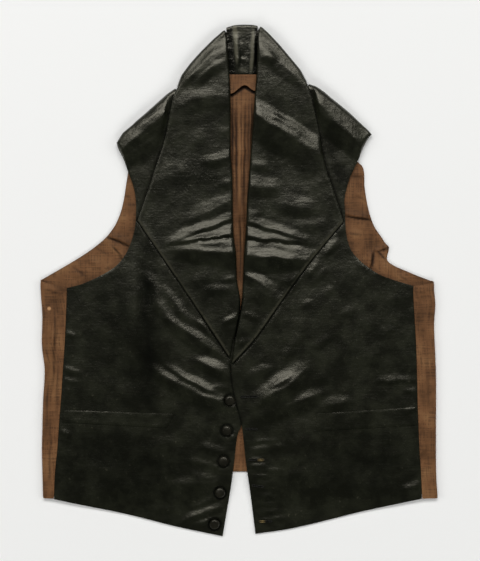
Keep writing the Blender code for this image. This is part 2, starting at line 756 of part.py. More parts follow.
def make_stand():
    """The collar's stand: its inner face shows in the neck, and it turns over the top edge."""
    reach = (math.pi - 2) * STAND_FOLD_RADIUS - STAND_END_Y

    def margin(y):
        return 8 * smooth((312 - y) / 25) - 0.6

    def top_y(x):
        return read_row(STAND_TOP_EDGE, x)

    heights = np.linspace(STAND_BASE_Y, 319, 9)
    left = [Vector((roll_x("left", y) - margin(y), y)) for y in heights]
    right = [Vector((roll_x("right", y) + margin(y), y)) for y in heights]
    xs = np.linspace(left[-1].x, right[-1].x, 7)
    far = [Vector((x, 2 * top_y(x) + reach)) for x in xs]
    base = [Vector((x, STAND_BASE_Y)) for x in np.linspace(left[0].x, right[0].x, 5)]
    left_up = [left[-1].lerp(far[0], t) for t in np.linspace(0, 1, 9)]
    right_up = [far[-1].lerp(right[-1], t) for t in np.linspace(0, 1, 9)]
    outline = closed_outline(base, right, right_up[::-1], far[::-1], left_up[::-1], left[::-1])

    def lay(x, y):
        place, turn = bent(y - top_y(x), STAND_FOLD_RADIUS)
        return x, top_y(x) + place, STAND_FOLD_RADIUS * (1 + math.cos(turn))

    lines = []
    for i in range(9):
        across = STAND_FOLD_RADIUS * (math.pi * i / 8 - 1)
        lines.append([Vector((x, top_y(x) + across)) for x in xs[1:-1]])
    cut("collar_stand", outline, lay, STAND_WALL, GRID["small"], SATIN, SATIN_ROUGHNESS, lines)


def make_neck_facing():
    """The brown band below the stand, with a peaked lower edge."""
    lower = curve(BAND_EDGE, 6)
    upper = [Vector((x, STAND_BASE_Y - SEAM_GAP)) for x in np.linspace(lower[-1].x, lower[0].x, 6)]
    outline = closed_outline(lower, upper)

    def lay(x, y):
        return x, y, lining_top(y) + SEAM_GAP + BAND_WALL

    cut("neck_facing", outline, lay, BAND_WALL, GRID["small"], BROWN, COTTON_ROUGHNESS)


def make_welt(side):
    """A pocket's welt, laid on the front."""
    corners = [Vector(corner) for corner in WELTS[side]]
    outline = []
    for a, b in zip(corners, corners[1:] + corners[:1]):
        count = max(1, round((b - a).length / 9))
        outline += [a.lerp(b, i / count) for i in range(count)]
    if side == "left":
        outline = outline[::-1]

    def lay(x, y):
        return x, y, front_top(side, x, y) + LAYER_GAP + WELT_WALL

    cut("pocket_welt_" + side, outline, lay, WELT_WALL, GRID["small"], SATIN, SATIN_ROUGHNESS)


def make_buttons():
    """The covered buttons, turned, each sitting just clear of the front."""
    turns = [2 * math.pi * i / BUTTON_SIDES for i in range(BUTTON_SIDES)]
    for number, (x, y) in enumerate(BUTTONS, 1):
        base = max(front_top("left", x + dx, y + dy) for dx in (-5, 0, 5) for dy in (-5, 0, 5))
        model = bmesh.new()
        rings = []
        for radius, height in BUTTON_OUTLINE:
            places = [(radius * math.cos(turn), radius * math.sin(turn), height) for turn in turns]
            rings.append([model.verts.new(Vector(place) * MM) for place in places])
        for low, high in zip(rings, rings[1:]):
            for i in range(BUTTON_SIDES):
                j = (i + 1) % BUTTON_SIDES
                model.faces.new((low[i], low[j], high[j], high[i]))
        model.faces.new(rings[0][::-1])
        crown = model.verts.new(Vector((0, 0, BUTTON_HEIGHT)) * MM)
        for i in range(BUTTON_SIDES):
            model.faces.new((rings[-1][i], rings[-1][(i + 1) % BUTTON_SIDES], crown))
        mesh = bpy.data.meshes.new(f"button_{number}")
        model.to_mesh(mesh)
        model.free()
        mesh.shade_smooth()
        button = bpy.data.objects.new(f"button_{number}", mesh)
        button.location = Vector((x, y, base + SEAM_GAP)) * MM
        bpy.context.scene.collection.objects.link(button)
        finish(button, SATIN, BUTTON_ROUGHNESS)


for left_over in list(bpy.data.objects):
    bpy.data.objects.remove(left_over)

make_back()
make_lining()
make_stand()
make_neck_facing()
for hand in ("left", "right"):
    make_front(hand)
    make_collar(hand)
    make_welt(hand)
make_buttons()
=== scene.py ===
# A long-collared satin waistcoat laid flat on its back: its cloth, its sewing, and the light on it.
# Tables are in millimetres: +X to the right as seen, +Y up to the neck, +Z up from the surface.
# "left" and "right" are as seen from above.

import math

import bpy
import numpy as np
from mathutils import Euler, Matrix, Vector, kdtree, noise
from mathutils.geometry import delaunay_2d_cdt


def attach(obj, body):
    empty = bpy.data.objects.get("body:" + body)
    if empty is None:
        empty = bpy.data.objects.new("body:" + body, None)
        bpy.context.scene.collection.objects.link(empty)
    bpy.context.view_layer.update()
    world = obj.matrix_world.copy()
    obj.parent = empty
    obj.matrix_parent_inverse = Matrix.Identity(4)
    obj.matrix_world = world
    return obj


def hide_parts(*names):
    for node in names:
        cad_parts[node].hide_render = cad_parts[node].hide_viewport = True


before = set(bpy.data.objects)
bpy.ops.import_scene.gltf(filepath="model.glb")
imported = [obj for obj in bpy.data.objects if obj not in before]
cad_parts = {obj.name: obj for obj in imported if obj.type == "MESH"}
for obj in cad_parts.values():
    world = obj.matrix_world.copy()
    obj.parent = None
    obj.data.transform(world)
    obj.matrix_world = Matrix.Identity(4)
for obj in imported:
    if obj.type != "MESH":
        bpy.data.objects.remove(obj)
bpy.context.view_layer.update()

mm = 0.001
outward = {"left": -1, "right": 1}

# How the layers lie on each other.
laying = {
    "seam": 0.4, "edgeGap": 0.35,
    "liningTop": 2.7, "frontTop": 5.2, "lapelTop": 7.7,
    "sideFold": 2.6, "collarFold": 5.1, "roll": 3.5, "standFold": 3.0,
    "lift": 2.5, "liftOver": (172.0, 63.0),   # over the collar's fall
    "shoulderFloor": 0.9, "neckY": 260.5, "standBaseY": 261.3, "standEndY": 319.3,
    "fallTopY": 318.9, "centreBackX": 5.5,
    "hemCentre": (2.5, -242.5), "hemFall": 33.5, "hemReach": 250.0, "hemPower": 1.6, "dropRun": 46.0,
    "close": (-22.0, -14.0), "part": (-190.0, 6.0), "closed": 0.9,   # where the fronts meet
    "chestSwell": 3.0, "chestAcross": (112.0, 66.0), "chestAlong": (-55.0, 125.0), "coverFrom": 3.0,
}


def smooth(t):
    t = np.clip(t, 0.0, 1.0)
    return t * t * (3 - 2 * t)


# A form is a pair of numbers. A rise goes from 0 at the first to 1 once the second is covered too, and
# downwards where the second is below 0. A bell is 1 at the first, and the second is its width.
def rise(value, form):
    return smooth((value - form[0]) / form[1])


def bell(value, form):
    return np.exp(-(((value - form[0]) / form[1]) ** 2))


def readRow(rows, at):
    rows = np.array(sorted(rows), float)
    return np.interp(at, rows[:, 0], rows[:, 1])


def curve(rows, step):   # points about a step apart on a smooth curve through the rows
    p = np.array(rows, float)
    p = np.vstack([2 * p[0] - p[1], p, 2 * p[-1] - p[-2]])
    made = []
    for before, a, b, after in zip(p, p[1:], p[2:], p[3:]):
        length = np.linalg.norm(b - a)
        lead = (b - before) * length / (length + np.linalg.norm(a - before))
        trail = (after - a) * length / (np.linalg.norm(after - b) + length)
        t = np.linspace(0, 1, max(1, round(length / step)), endpoint=False)[:, None]
        made.append((2 * t**3 - 3 * t**2 + 1) * a + (t**3 - 2 * t**2 + t) * lead
                    + (3 * t**2 - 2 * t**3) * b + (t**3 - t**2) * trail)
    return np.vstack([*made, p[-2:-1]])


def lines(rows, step):   # points about a step apart on straight lines through the rows
    p = np.array(rows, float)
    made = []
    for a, b in zip(p, p[1:]):
        t = np.linspace(0, 1, max(1, round(np.linalg.norm(b - a) / step)), endpoint=False)[:, None]
        made.append(a + (b - a) * t)
    return np.vstack([*made, p[-1:]])


def aside(run, by):   # a run of points moved to the left of its direction
    along = np.gradient(run, axis=0)
    out = np.stack([-along[:, 1], along[:, 0]], 1)
    return run + by * out / np.linalg.norm(out, axis=1)[:, None]


def bent(past, radius):   # where a point past a fold's outer line comes to lie, and its turn
    arc = past + radius
    turn = np.clip(arc / radius, 0, math.pi)
    place = radius * np.sin(turn) - radius - np.maximum(0, arc - math.pi * radius)
    return np.where(arc <= 0, past, place), turn


# A fold's outer line runs from start to end, and its bulge is how far it stands outside that straight line.
def foldWay(fold):
    start = np.array(fold["start"], float)
    run = np.array(fold["end"], float) - start
    length = np.linalg.norm(run)
    along = run / length
    out = np.array([along[1], -along[0]])
    return start, along, out if out[1] > 0 else -out, length


def pastFold(fold, x, y):
    start, along, out, _ = foldWay(fold)
    t = (x - start[0]) * along[0] + (y - start[1]) * along[1]
    return (x - start[0]) * out[0] + (y - start[1]) * out[1] - readRow(fold["bulge"], t), t, out


def foldPoint(fold, radius, t, turn):
    start, along, out, _ = foldWay(fold)
    return start + along * t + out * (readRow(fold["bulge"], t) + radius * (turn - 1))


def innerEdge(fold, inset, step, last):
    start, along, out, length = foldWay(fold)
    t = length * np.linspace(0.1, last, round(length * (last - 0.1) / step) + 1)[:, None]
    return start + along * t + out * (readRow(fold["bulge"], t) - inset)


def insideOf(outline, points):
    found = np.zeros(len(points), bool)
    for a, b in zip(outline, np.roll(outline, -1, axis=0)):
        if a[1] == b[1]:
            continue
        crosses = (a[1] > points[:, 1]) != (b[1] > points[:, 1])
        found ^= crosses & (points[:, 0] < a[0] + (points[:, 1] - a[1]) * (b[0] - a[0]) / (b[1] - a[1]))
    return found


def fromLine(line, points):
    best = np.full(len(points), 1e9)
    for a, b in zip(line, line[1:]):
        run = b - a
        t = np.clip(((points - a) @ run) / max(run @ run, 1e-9), 0, 1)
        best = np.minimum(best, ((a + t[:, None] * run - points) ** 2).sum(1))
    return np.sqrt(best)


def twiceArea(outline):
    x, y = outline.T
    return np.dot(x, np.roll(y, -1)) - np.dot(y, np.roll(x, -1))


def closeOutline(*runs):   # the runs joined, without doubled points, counterclockwise
    outline = []
    for point in np.vstack([np.atleast_2d(run) for run in runs]):
        if not outline or np.linalg.norm(point - outline[-1]) > 0.25:
            outline.append(point)
    while np.linalg.norm(outline[0] - outline[-1]) < 0.25:
        outline.pop()
    outline = np.array(outline)
    return outline[::-1] if twiceArea(outline) < 0 else outline


def keepApart(points, kept, apart):   # the points that stay this far from those kept before them
    tree = kdtree.KDTree(len(kept))
    for i, (x, y) in enumerate(kept):
        tree.insert((x, y, 0), i)
    tree.balance()
    spread = []
    for point in points:
        if tree.find((point[0], point[1], 0))[2] < apart:
            continue
        if not spread or np.linalg.norm(point - spread[-1]) > apart:
            spread.append(point)
    return np.array(spread).reshape(-1, 2)


filling = {
    "depths": (0.7, 1.7, 2.9, 4.3),   # of the rows beside the edge
    # How near the edge and each other points may lie. Where there are two, the first is a share of the depth.
    "edgeClear": (0.6, 0.15), "edgeApart": 0.55, "rowClear": 0.8, "rowApart": 0.35,
    "fieldClear": 0.45, "fieldApart": 0.62,
}


# Triangles inside an outline: rows along its edge and along the folds, and an even field between.
def fillPattern(outline, spacing, rows):
    sets = []
    share, least = filling["edgeClear"]
    for depth in filling["depths"]:
        band = aside(np.vstack([outline[-1:], outline, outline[:1]]), depth)[1:-1]
        sets.append((band, share * depth + least, filling["edgeApart"] * spacing))
    for row in rows:
        sets.append((np.asarray(row, float), filling["rowClear"], filling["rowApart"] * spacing))
    low, high = outline.min(0), outline.max(0)
    across = np.arange(low[0], high[0] + spacing, spacing)
    down = np.arange(low[1], high[1], spacing * math.sqrt(0.75))
    field = np.stack(np.meshgrid(across, down), -1)
    field[1::2, :, 0] += spacing / 2
    sets.append((field.reshape(-1, 2), filling["fieldClear"] * spacing, filling["fieldApart"] * spacing))
    kept = outline
    for points, clear, apart in sets:
        points = points[insideOf(outline, points)]
        points = points[fromLine(np.vstack([outline, outline[:1]]), points) > clear]
        kept = np.vstack([kept, keepApart(points, kept, apart)])
    rim = [(i, (i + 1) % len(outline)) for i in range(len(outline))]
    inside = [list(range(len(outline)))]
    flat, _, faces, *_ = delaunay_2d_cdt([Vector(p) for p in kept], rim, inside, 1, 1e-4)
    points = np.array([(p.x, p.y) for p in flat])
    faces = np.array([face for face in faces if len(face) == 3], int)
    used = np.unique(faces)
    place = np.full(len(points), -1)
    place[used] = np.arange(len(used))
    return points[used], place[faces]


def normalsOf(points, faces):
    a, b, c = (points[faces[:, i]] for i in range(3))
    face = np.cross(b - a, c - a)
    total = np.zeros_like(points)
    for i in range(3):
        np.add.at(total, faces[:, i], face)
    return total / np.maximum(np.linalg.norm(total, axis=1), 1e-12)[:, None]


def undulation(x, y, size, seed):   # slow, uneven rise and fall between -1 and 1
    return np.array([noise.noise(Vector((a / size, b / size, seed))) for a, b in zip(x, y)])


def waves(rows, x, y):   # size, height and seed of each undulation, added up
    return sum(height * undulation(x, y, size, seed) for size, height, seed in rows)


creaseForm = {
    "driftX": (17, 12.4), "driftY": (21, 31.8),   # size and seed of its wandering
    "narrowest": 0.35, "waver": 0.06,             # its width at the ends, and how much that varies
    "fadeShare": 0.38, "heightWaver": 0.1,        # the share of its length over which it rises
    "footFrom": 0.55, "footFall": 0.35,           # the flank steepens towards its foot
    "highFrom": 1.5, "fineAcross": 4.2, "fineAlong": 22.0, "fineRun": 0.4,   # the finer folds on a high one
}


# Listed creases: x, y of both ends, bow, height, and how wide the flanks are on the left and on
# the right of that direction. One drawn from left to right has its first flank towards the neck.
# Each narrows to its ends, and a high one is drawn into finer folds along its length.
def creases(rows, x, y, wander=2.2, crest=0.8, folds=0.06):
    form = creaseForm
    x, y = x + wander * undulation(x, y, *form["driftX"]), y + wander * undulation(x, y, *form["driftY"])
    height = np.zeros_like(x)
    for i, (x1, y1, x2, y2, bow, peak, leftFlank, rightFlank) in enumerate(rows):
        ax, ay = x2 - x1, y2 - y1
        length = math.hypot(ax, ay)
        t = ((x - x1) * ax + (y - y1) * ay) / length**2
        across = ((y - y1) * ax - (x - x1) * ay) / length - bow * 4 * t * (1 - t)
        taper = form["narrowest"] + (1 - form["narrowest"]) * np.sqrt(np.clip(4 * t * (1 - t), 0, 1))
        width = np.where(across > 0, leftFlank, rightFlank) * (taper + form["waver"] * np.sin(7 * t + i))
        u = np.clip((np.sqrt(across**2 + crest**2) - crest) / width, 0, 1)
        near = np.flatnonzero((t > 0) & (t < 1) & (u < 1))
        t, u, across = t[near], u[near], across[near]
        ends = smooth(t / form["fadeShare"]) * smooth((1 - t) / form["fadeShare"])
        ends = ends * (1 + form["heightWaver"] * np.sin(9 * t + 2 * i))
        flank = (1 - u) * (1 - smooth((u - form["footFrom"]) / (1 - form["footFrom"])) * form["footFall"])
        if peak > form["highFrom"]:
            fine = undulation(across / form["fineAcross"], t * length / form["fineAlong"], 1.0, 5.0 * i + 0.3)
            flank += folds * smooth((1 - u) / form["fineRun"]) * fine
        height[near] += peak * ends * flank
    return height


def addPiece(mesh, node=None):   # a finished mesh, placed and declared
    piece = bpy.data.objects.new(mesh.name, mesh)
    bpy.context.scene.collection.objects.link(piece)
    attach(piece, "root")
    if node:
        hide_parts(node)
    return piece


wallForm = {
    "up": (0.15, 0.6), "under": -0.9,      # creases only where the cloth faces up, hollows below it
    "edgeReach": 1.9, "edgeShare": 0.5,    # how far in an edge is rounded, and the inner face's share of it
    "follow": 0.9, "sharpFrom": 58.0,      # how closely the inner face follows a crease; degrees
}


# One sewn piece: its pattern filled, laid, creased along its normals, given its wall, and declared.
def makeCloth(name, node, cloth, outline, lay, relief, material, rows=(), under=None,
              turned=False, tone=None):
    points, faces = fillPattern(outline, cloth["spacing"], rows)
    base = np.stack(lay(*points.T), 1)
    if turned:
        faces = faces[:, ::-1]
    normals = normalsOf(base, faces)
    inward = fromLine(np.vstack([outline, outline[:1]]), points)
    raised = relief(base[:, 0], base[:, 1], inward)
    raised *= rise(normals[:, 2], wallForm["up"])
    if under:
        raised -= under(base[:, 0], base[:, 1]) * (normals[:, 2] < wallForm["under"])
    rounding = cloth["edge"] * np.clip(1 - inward / wallForm["edgeReach"], 0, 1) ** 2
    outer = base + normals * (raised - rounding)[:, None]
    wall = cloth["wall"] - wallForm["follow"] * np.maximum(raised, 0) - wallForm["edgeShare"] * rounding
    inner = base - normals * wall[:, None]
    count = len(points)
    pairs = np.concatenate([faces[:, [0, 1]], faces[:, [1, 2]], faces[:, [2, 0]]])
    _, first, uses = np.unique(np.sort(pairs, axis=1), axis=0, return_index=True, return_counts=True)
    rim = pairs[first[uses == 1]]
    wallFaces = np.stack([rim[:, 1], rim[:, 0], rim[:, 0] + count, rim[:, 1] + count], 1)
    mesh = bpy.data.meshes.new(name)
    mesh.from_pydata((np.vstack([outer, inner]) * mm).tolist(), [],
                     faces.tolist() + (faces[:, ::-1] + count).tolist() + wallFaces.tolist())
    corners = np.zeros(len(mesh.loops), int)
    mesh.loops.foreach_get("vertex_index", corners)
    pattern = mesh.uv_layers.new(name="pattern")
    pattern.data.foreach_set("uv", (np.vstack([points, points]) * mm)[corners].ravel())
    shade = np.clip(tone(base[:, 0], base[:, 1]), -1, 1) if tone else np.zeros(count)
    layer = mesh.attributes.new("tone", "FLOAT", "POINT")   # above 0 painted shade, below 0 painted highlight
    layer.data.foreach_set("value", np.concatenate([shade, shade]).astype(np.float32))
    mesh.shade_smooth()
    mesh.set_sharp_from_angle(angle=math.radians(wallForm["sharpFrom"]))
    mesh.materials.append(material)
    piece = addPiece(mesh, node)


def fromHex(text):   # an sRGB colour such as #6b4e34, as linear values
    parts = [int(text[i:i + 2], 16) / 255 for i in (1, 3, 5)]
    return (*(c / 12.92 if c <= 0.04045 else ((c + 0.055) / 1.055) ** 2.4 for c in parts), 1.0)


# A node with its settings, the values of its inputs by name or number, the links into them, and the
# stops of a ramp: a place, and a grey value or a hex colour.
def addNode(material, kind, values=(), links=(), stops=(), **settings):
    node = material.node_tree.nodes.new(kind)
    for name, value in settings.items():
        setattr(node, name, value)
    for key, value in dict(values).items():
        node.inputs[key].default_value = value
    for key, socket in dict(links).items():
        material.node_tree.links.new(socket, node.inputs[key])
    elements = node.color_ramp.elements if stops else []
    while len(elements) < len(stops):
        elements.new(0.5)
    for element, (at, value) in zip(elements, stops):
        element.position = at
        element.color = fromHex(value) if isinstance(value, str) else (value, value, value, 1)
    return node


def newMaterial(name):
    material = bpy.data.materials.new(name)
    material.use_nodes = True
    return material, material.node_tree.nodes["Principled BSDF"]


def addWeave(material, place, threadSize, across=0.06):   # uneven threads both ways, about 0 to 2
    perMetre = 1000 / threadSize
    ways = []
    for scale in ((perMetre, perMetre * across, 1), (perMetre * across, perMetre, 1)):
        way = addNode(material, "ShaderNodeMapping", {"Scale": scale}, {"Vector": place})
        ways.append(addNode(material, "ShaderNodeTexNoise", {"Scale": 1.0, "Detail": 2.0, "Roughness": 0.55},
                            {"Vector": way.outputs["Vector"]}).outputs["Fac"])
    return addNode(material, "ShaderNodeMath", links={0: ways[0], 1: ways[1]}, operation="ADD").outputs[0]


# The colour carried towards another by what the cloth's tone says: painted shade where it is above 0, or
# painted highlight where it is below 0.
def addTone(material, colour, towards, side, more=None):
    tone = addNode(material, "ShaderNodeAttribute", attribute_name="tone").outputs["Fac"]
    share = addNode(material, "ShaderNodeMath", {1: side}, {0: tone}, operation="MULTIPLY", use_clamp=True)
    if more:   # two shares whose product is added
        share = addNode(material, "ShaderNodeMath", links={0: more[0], 1: more[1], 2: share.outputs[0]},
                        operation="MULTIPLY_ADD", use_clamp=True)
    mixed = addNode(material, "ShaderNodeMix", {7: fromHex(towards)}, {"Factor": share.outputs[0], 6: colour},
                    data_type="RGBA")
    return mixed.outputs[2], share.outputs[0]


# Silk satin, piece-dyed black: its long floats give broad soft highlights with fine streaks along the warp.
# Where it is rubbed, broken floats scatter more light, so it looks paler and duller. That pale colour also
# paints highlights, and a near-black paints shade, where the piece's tone attribute says so.
satin = {
    "dark": "#020301", "worn": "#191b12", "paintedShade": "#020302", "scuffsAndHighlight": "#4a483b", "gloss": "#fff9e4",
    # The duller patches and threads add to the roughness, and where shade is painted it is made smoother, so
    # it catches less gloss.
    "roughness": 0.195, "cloudyPart": 0.1, "threadPart": 0.25, "paintedShadeRoughness": -0.15, "index": 1.58,
    "slub": 2.4,       # mm between uneven threads: the real ones are 0.1 mm apart, too fine to show
    "slubAcross": 0.12,
    "patches": {"Scale": 36.0, "Detail": 5.0, "Roughness": 0.62},   # about 28 mm across
    "flecks": {"Scale": 170.0, "Detail": 4.0, "Roughness": 0.7},    # about 6 mm across
    "grain": [(0.4, 0.0), (0.6, 0.35)], "wearAndHighlight": [(0.42, 0.0), (0.62, 1.0)], "wearPart": 0.65,
    "marks": (0.62, 0.72), "cloudRange": (0.3, 0.7),
    "streaks": {"Strength": 0.36, "Distance": 0.0004}, "crumple": {"Strength": 0.5, "Distance": 0.0011},
}


def makeSatin(name, scuffs, dark=None, worn=None):
    material, shader = newMaterial(name)
    place = addNode(material, "ShaderNodeUVMap", uv_map="pattern").outputs["UV"]
    floats = addWeave(material, place, satin["slub"], satin["slubAcross"])
    cloudy = addNode(material, "ShaderNodeTexNoise", satin["patches"], {"Vector": place}).outputs["Fac"]
    flecks = addNode(material, "ShaderNodeTexNoise", satin["flecks"], {"Vector": place}).outputs["Fac"]
    first, last = satin["marks"]
    shades = []
    for height, stops in ((floats, satin["grain"]), (cloudy, satin["wearAndHighlight"]),
                          (flecks, [(first, 0.0), (last, scuffs)])):
        ramp = addNode(material, "ShaderNodeValToRGB", links={"Fac": height}, stops=stops)
        shades.append(ramp.outputs["Color"])
    grain, wearAndHighlight, marks = shades
    paler = addNode(material, "ShaderNodeMath", {1: satin["wearPart"]}, {0: wearAndHighlight, 2: grain},
                    operation="MULTIPLY_ADD").outputs[0]
    colour = addNode(material, "ShaderNodeMix",
                     {6: fromHex(dark or satin["dark"]), 7: fromHex(worn or satin["worn"])},
                     {"Factor": paler}, data_type="RGBA").outputs[2]
    # Pale where scuffed and where highlights are painted; near black where shade is painted.
    colour, _ = addTone(material, colour, satin["scuffsAndHighlight"], -1.0, more=(wearAndHighlight, marks))
    colour, paintedShade = addTone(material, colour, satin["paintedShade"], 1.0)
    low, high = satin["cloudRange"]
    dull = addNode(material, "ShaderNodeMapRange",
                   {"From Min": low, "From Max": high, "To Min": satin["roughness"],
                    "To Max": satin["roughness"] + satin["cloudyPart"]}, {"Value": cloudy}).outputs["Result"]
    for part, share in (("threadPart", grain), ("paintedShadeRoughness", paintedShade)):
        dull = addNode(material, "ShaderNodeMath", {1: satin[part]}, {0: share, 2: dull},
                       operation="MULTIPLY_ADD").outputs[0]
    streaks = addNode(material, "ShaderNodeBump", satin["streaks"], {"Height": floats})
    crumple = addNode(material, "ShaderNodeBump", satin["crumple"],
                      {"Height": flecks, "Normal": streaks.outputs["Normal"]})
    material.node_tree.links.new(colour, shader.inputs["Base Color"])
    material.node_tree.links.new(dull, shader.inputs["Roughness"])
    material.node_tree.links.new(crumple.outputs["Normal"], shader.inputs["Normal"])
    shader.inputs["IOR"].default_value = satin["index"]
    shader.inputs["Specular Tint"].default_value = fromHex(satin["gloss"])
    return material


# Brown glazed cotton in plain weave: matt, a little mottled, with fine crossing threads.
cotton = {
    # The last two colours paint shade in folds and below the neck band, and highlights on ridges.
    "face": "#6b492d", "dark": "#49301a", "light": "#84603e", "paintedShadeColour": "#170d05", "paintedHighlight": "#8d6743",
    "roughness": 0.75, "gloss": 0.3,
    "thread": 1.9,     # mm from thread to thread: the real ones are about 0.35 mm apart, too fine to show
    "threadShade": [(0.8, 0.35), (1.2, 1.0)], "threadPart": 0.6,
    "patches": {"Scale": 28.0, "Detail": 6.0, "Roughness": 0.6}, "patchStops": (0.3, 0.5, 0.74),   # 36 mm
    "threadBump": {"Strength": 0.35, "Distance": 0.0003}, "crumple": {"Strength": 0.5, "Distance": 0.0022},
    "spot": (-240.5, -35.5), "spotSize": 3.2, "spotColour": "#b88c62",   # a small pale stain
    "spotCore": 0.35, "spotShare": 0.9,
}


def makeCotton(name, stained=False):
    material, shader = newMaterial(name)
    place = addNode(material, "ShaderNodeUVMap", uv_map="pattern").outputs["UV"]
    weave = addWeave(material, place, cotton["thread"])
    cloudy = addNode(material, "ShaderNodeTexNoise", cotton["patches"], {"Vector": place}).outputs["Fac"]
    stops = list(zip(cotton["patchStops"], (cotton["dark"], cotton["face"], cotton["light"])))
    ground = addNode(material, "ShaderNodeValToRGB", links={"Fac": cloudy}, stops=stops)
    threads = addNode(material, "ShaderNodeValToRGB", links={"Fac": weave}, stops=cotton["threadShade"])
    colour = addNode(material, "ShaderNodeMix", {0: cotton["threadPart"]},
                     {6: ground.outputs["Color"], 7: threads.outputs["Color"]}, data_type="RGBA",
                     blend_type="MULTIPLY").outputs[2]
    # Painted highlight where the tone is below 0, painted shade where it is above 0.
    for towards, side in (("paintedHighlight", -1.0), ("paintedShadeColour", 1.0)):
        colour, _ = addTone(material, colour, cotton[towards], side)
    if stained:
        here = addNode(material, "ShaderNodeTexCoord").outputs["Object"]
        spot = Vector((*cotton["spot"], laying["frontTop"])) * mm
        apart = addNode(material, "ShaderNodeVectorMath", {1: spot}, {0: here}, operation="DISTANCE")
        size = cotton["spotSize"] * mm
        core = size * cotton["spotCore"]
        share = addNode(material, "ShaderNodeMapRange",
                        {"From Min": size, "From Max": core, "To Max": cotton["spotShare"]},
                        {"Value": apart.outputs["Value"]}, interpolation_type="SMOOTHSTEP")
        colour = addNode(material, "ShaderNodeMix", {7: fromHex(cotton["spotColour"])},
                         {"Factor": share.outputs["Result"], 6: colour}, data_type="RGBA").outputs[2]
    threadBump = addNode(material, "ShaderNodeBump", cotton["threadBump"], {"Height": weave})
    crumple = addNode(material, "ShaderNodeBump", cotton["crumple"],
                      {"Height": cloudy, "Normal": threadBump.outputs["Normal"]})
    material.node_tree.links.new(colour, shader.inputs["Base Color"])
    material.node_tree.links.new(crumple.outputs["Normal"], shader.inputs["Normal"])
    shader.inputs["Roughness"].default_value = cotton["roughness"]
    shader.inputs["Specular IOR Level"].default_value = cotton["gloss"]
    return material


def makeMatt(name, look):
    material, shader = newMaterial(name)
    shader.inputs["Base Color"].default_value = fromHex(look["colour"])
    shader.inputs["Roughness"].default_value = look["roughness"]
    shader.inputs["Specular IOR Level"].default_value = look["gloss"]
    return material


# Twisted black silk thread, faded to brown and frayed where the attribute "worn" says so.
thread = {"colour": "#1b1b15", "faded": "#8d7a4e", "roughness": 0.5}


def makeThread():
    material, shader = newMaterial("silk_buttonhole_thread")
    worn = addNode(material, "ShaderNodeAttribute", attribute_name="worn")
    colour = addNode(material, "ShaderNodeMix", {6: fromHex(thread["colour"]), 7: fromHex(thread["faded"])},
                     {"Factor": worn.outputs["Fac"]}, data_type="RGBA")
    material.node_tree.links.new(colour.outputs[2], shader.inputs["Base Color"])
    shader.inputs["Roughness"].default_value = thread["roughness"]
    return material


frontSatin = makeSatin("silk_satin_front", 0.75)
collarSatin = makeSatin("silk_satin_collar", 0.3)
buttonSatin = makeSatin("silk_satin_button", 0.4, "#0c0c08", "#191811")
backCotton = makeCotton("brown_cotton_back", stained=True)
liningCotton = makeCotton("brown_cotton_lining")
silkThread = makeThread()
print("materials made")

# Lines that more than one piece follows.
armholeBack = {
    "left": [(-139, 150), (-141, 136), (-143.5, 120), (-146, 103.5), (-150, 87), (-155, 74.5),
    (-159.5, 66.5),
             (-169, 54.5), (-183, 42.5), (-199.5, 31), (-221, 18), (-248, 2.5)],
    "right": [(147.5, 153), (157.5, 143), (159.5, 117.5), (164.5, 89.5), (171.5, 69), (181.5, 54),
              (186, 47), (190.5, 42), (188.5, 25), (217, 10), (243.5, -0.5)],
}
sideFold = {
    "left": [(-252, 1), (-251.5, -14.5), (-249.5, -45), (-250, -82), (-246.5, -113.5),
             (-248.5, -152), (-249.5, -190), (-250, -215.5), (-248.5, -276)],
    "right": [(247.5, -1), (247.5, -12), (249, -30), (247.5, -56.5), (249, -94.5),
              (250, -126.5), (250, -240.5), (252, -276)],
}
sideSeam = {
    "left": [(-218, -9.5), (-218, -14.5), (-220.5, -75.5), (-223, -113.5), (-225.5, -152),
             (-228, -182), (-230, -212.5), (-233, -243), (-234.5, -276.5)],
    "right": [(221, -7), (220.5, -14.5), (224, -75.5), (225.5, -121.5), (226.5, -164.5),
              (228.5, -212.5), (230.5, -243), (232, -276.5)],
}
rollEdge = {
    "left": [(-16.5, 320.5), (-11.5, 261), (-10, 229), (-9.8, 165.5), (-7.5, 127.5), (-6.5, 64), (-3, 31),
             (-2, 0.5), (2, -27.5), (-2.5, -59), (-7, -79.5), (-10, -98.5), (-11, -107.5)],
    "right": [(24, 320.5), (21.5, 259.5), (19, 229), (16.5, 199), (15, 172), (12.5, 138), (10, 107.5),
              (8.5, 70.5), (5.5, 31), (4.5, 0.5), (3, -27.5), (-2.5, -59), (-7, -79.5), (-10, -98.5),
              (-11, -107.5)],
}
lapelTip = {"left": -99.0, "right": -107.0}
lapelEdge = {
    "left": [[(-78.5, 245.5), (-84, 229), (-94, 178.5), (-106.5, 140.5), (-117, 108.5), (-128.5, 76)],
             [(-128.5, 76), (-68, -13), (-12.5, -96.5)]],
    "right": [[(86.5, 251), (90, 238), (103, 178.5), (110.5, 140.5), (117, 121.5), (125.5, 96),
    (132, 74.5)],
              [(132, 74.5), (90, 23.5), (52, -28.5), (20.5, -73), (-7.5, -104)]],
}
collarFold = {
    "left": {"start": (-19.0, 317.5), "end": (-78.5, 245.5),
             "bulge": [(0, 0), (18, 3), (40, 5.2), (60, 6), (79, 5), (93, 0)]},
    "right": {"start": (28, 322), "end": (86.5, 251),
              "bulge": [(0, 0), (13, 2), (34, 3.3), (54, 3.4), (74, 3.5), (92, 0)]},
}
shoulderFold = {
    "left": {"start": (-78.5, 245.5), "end": (-152, 182),
             "bulge": [(0, 0), (15, 1.8), (49, 1.2), (72, 0.5), (97, 0)]},
    "right": {"start": (86.5, 251), "end": (167.5, 187.5),
              "bulge": [(0, 0), (15, 3.2), (41, 3.7), (65, 3.4), (87, 1.3), (103, 0)]},
}


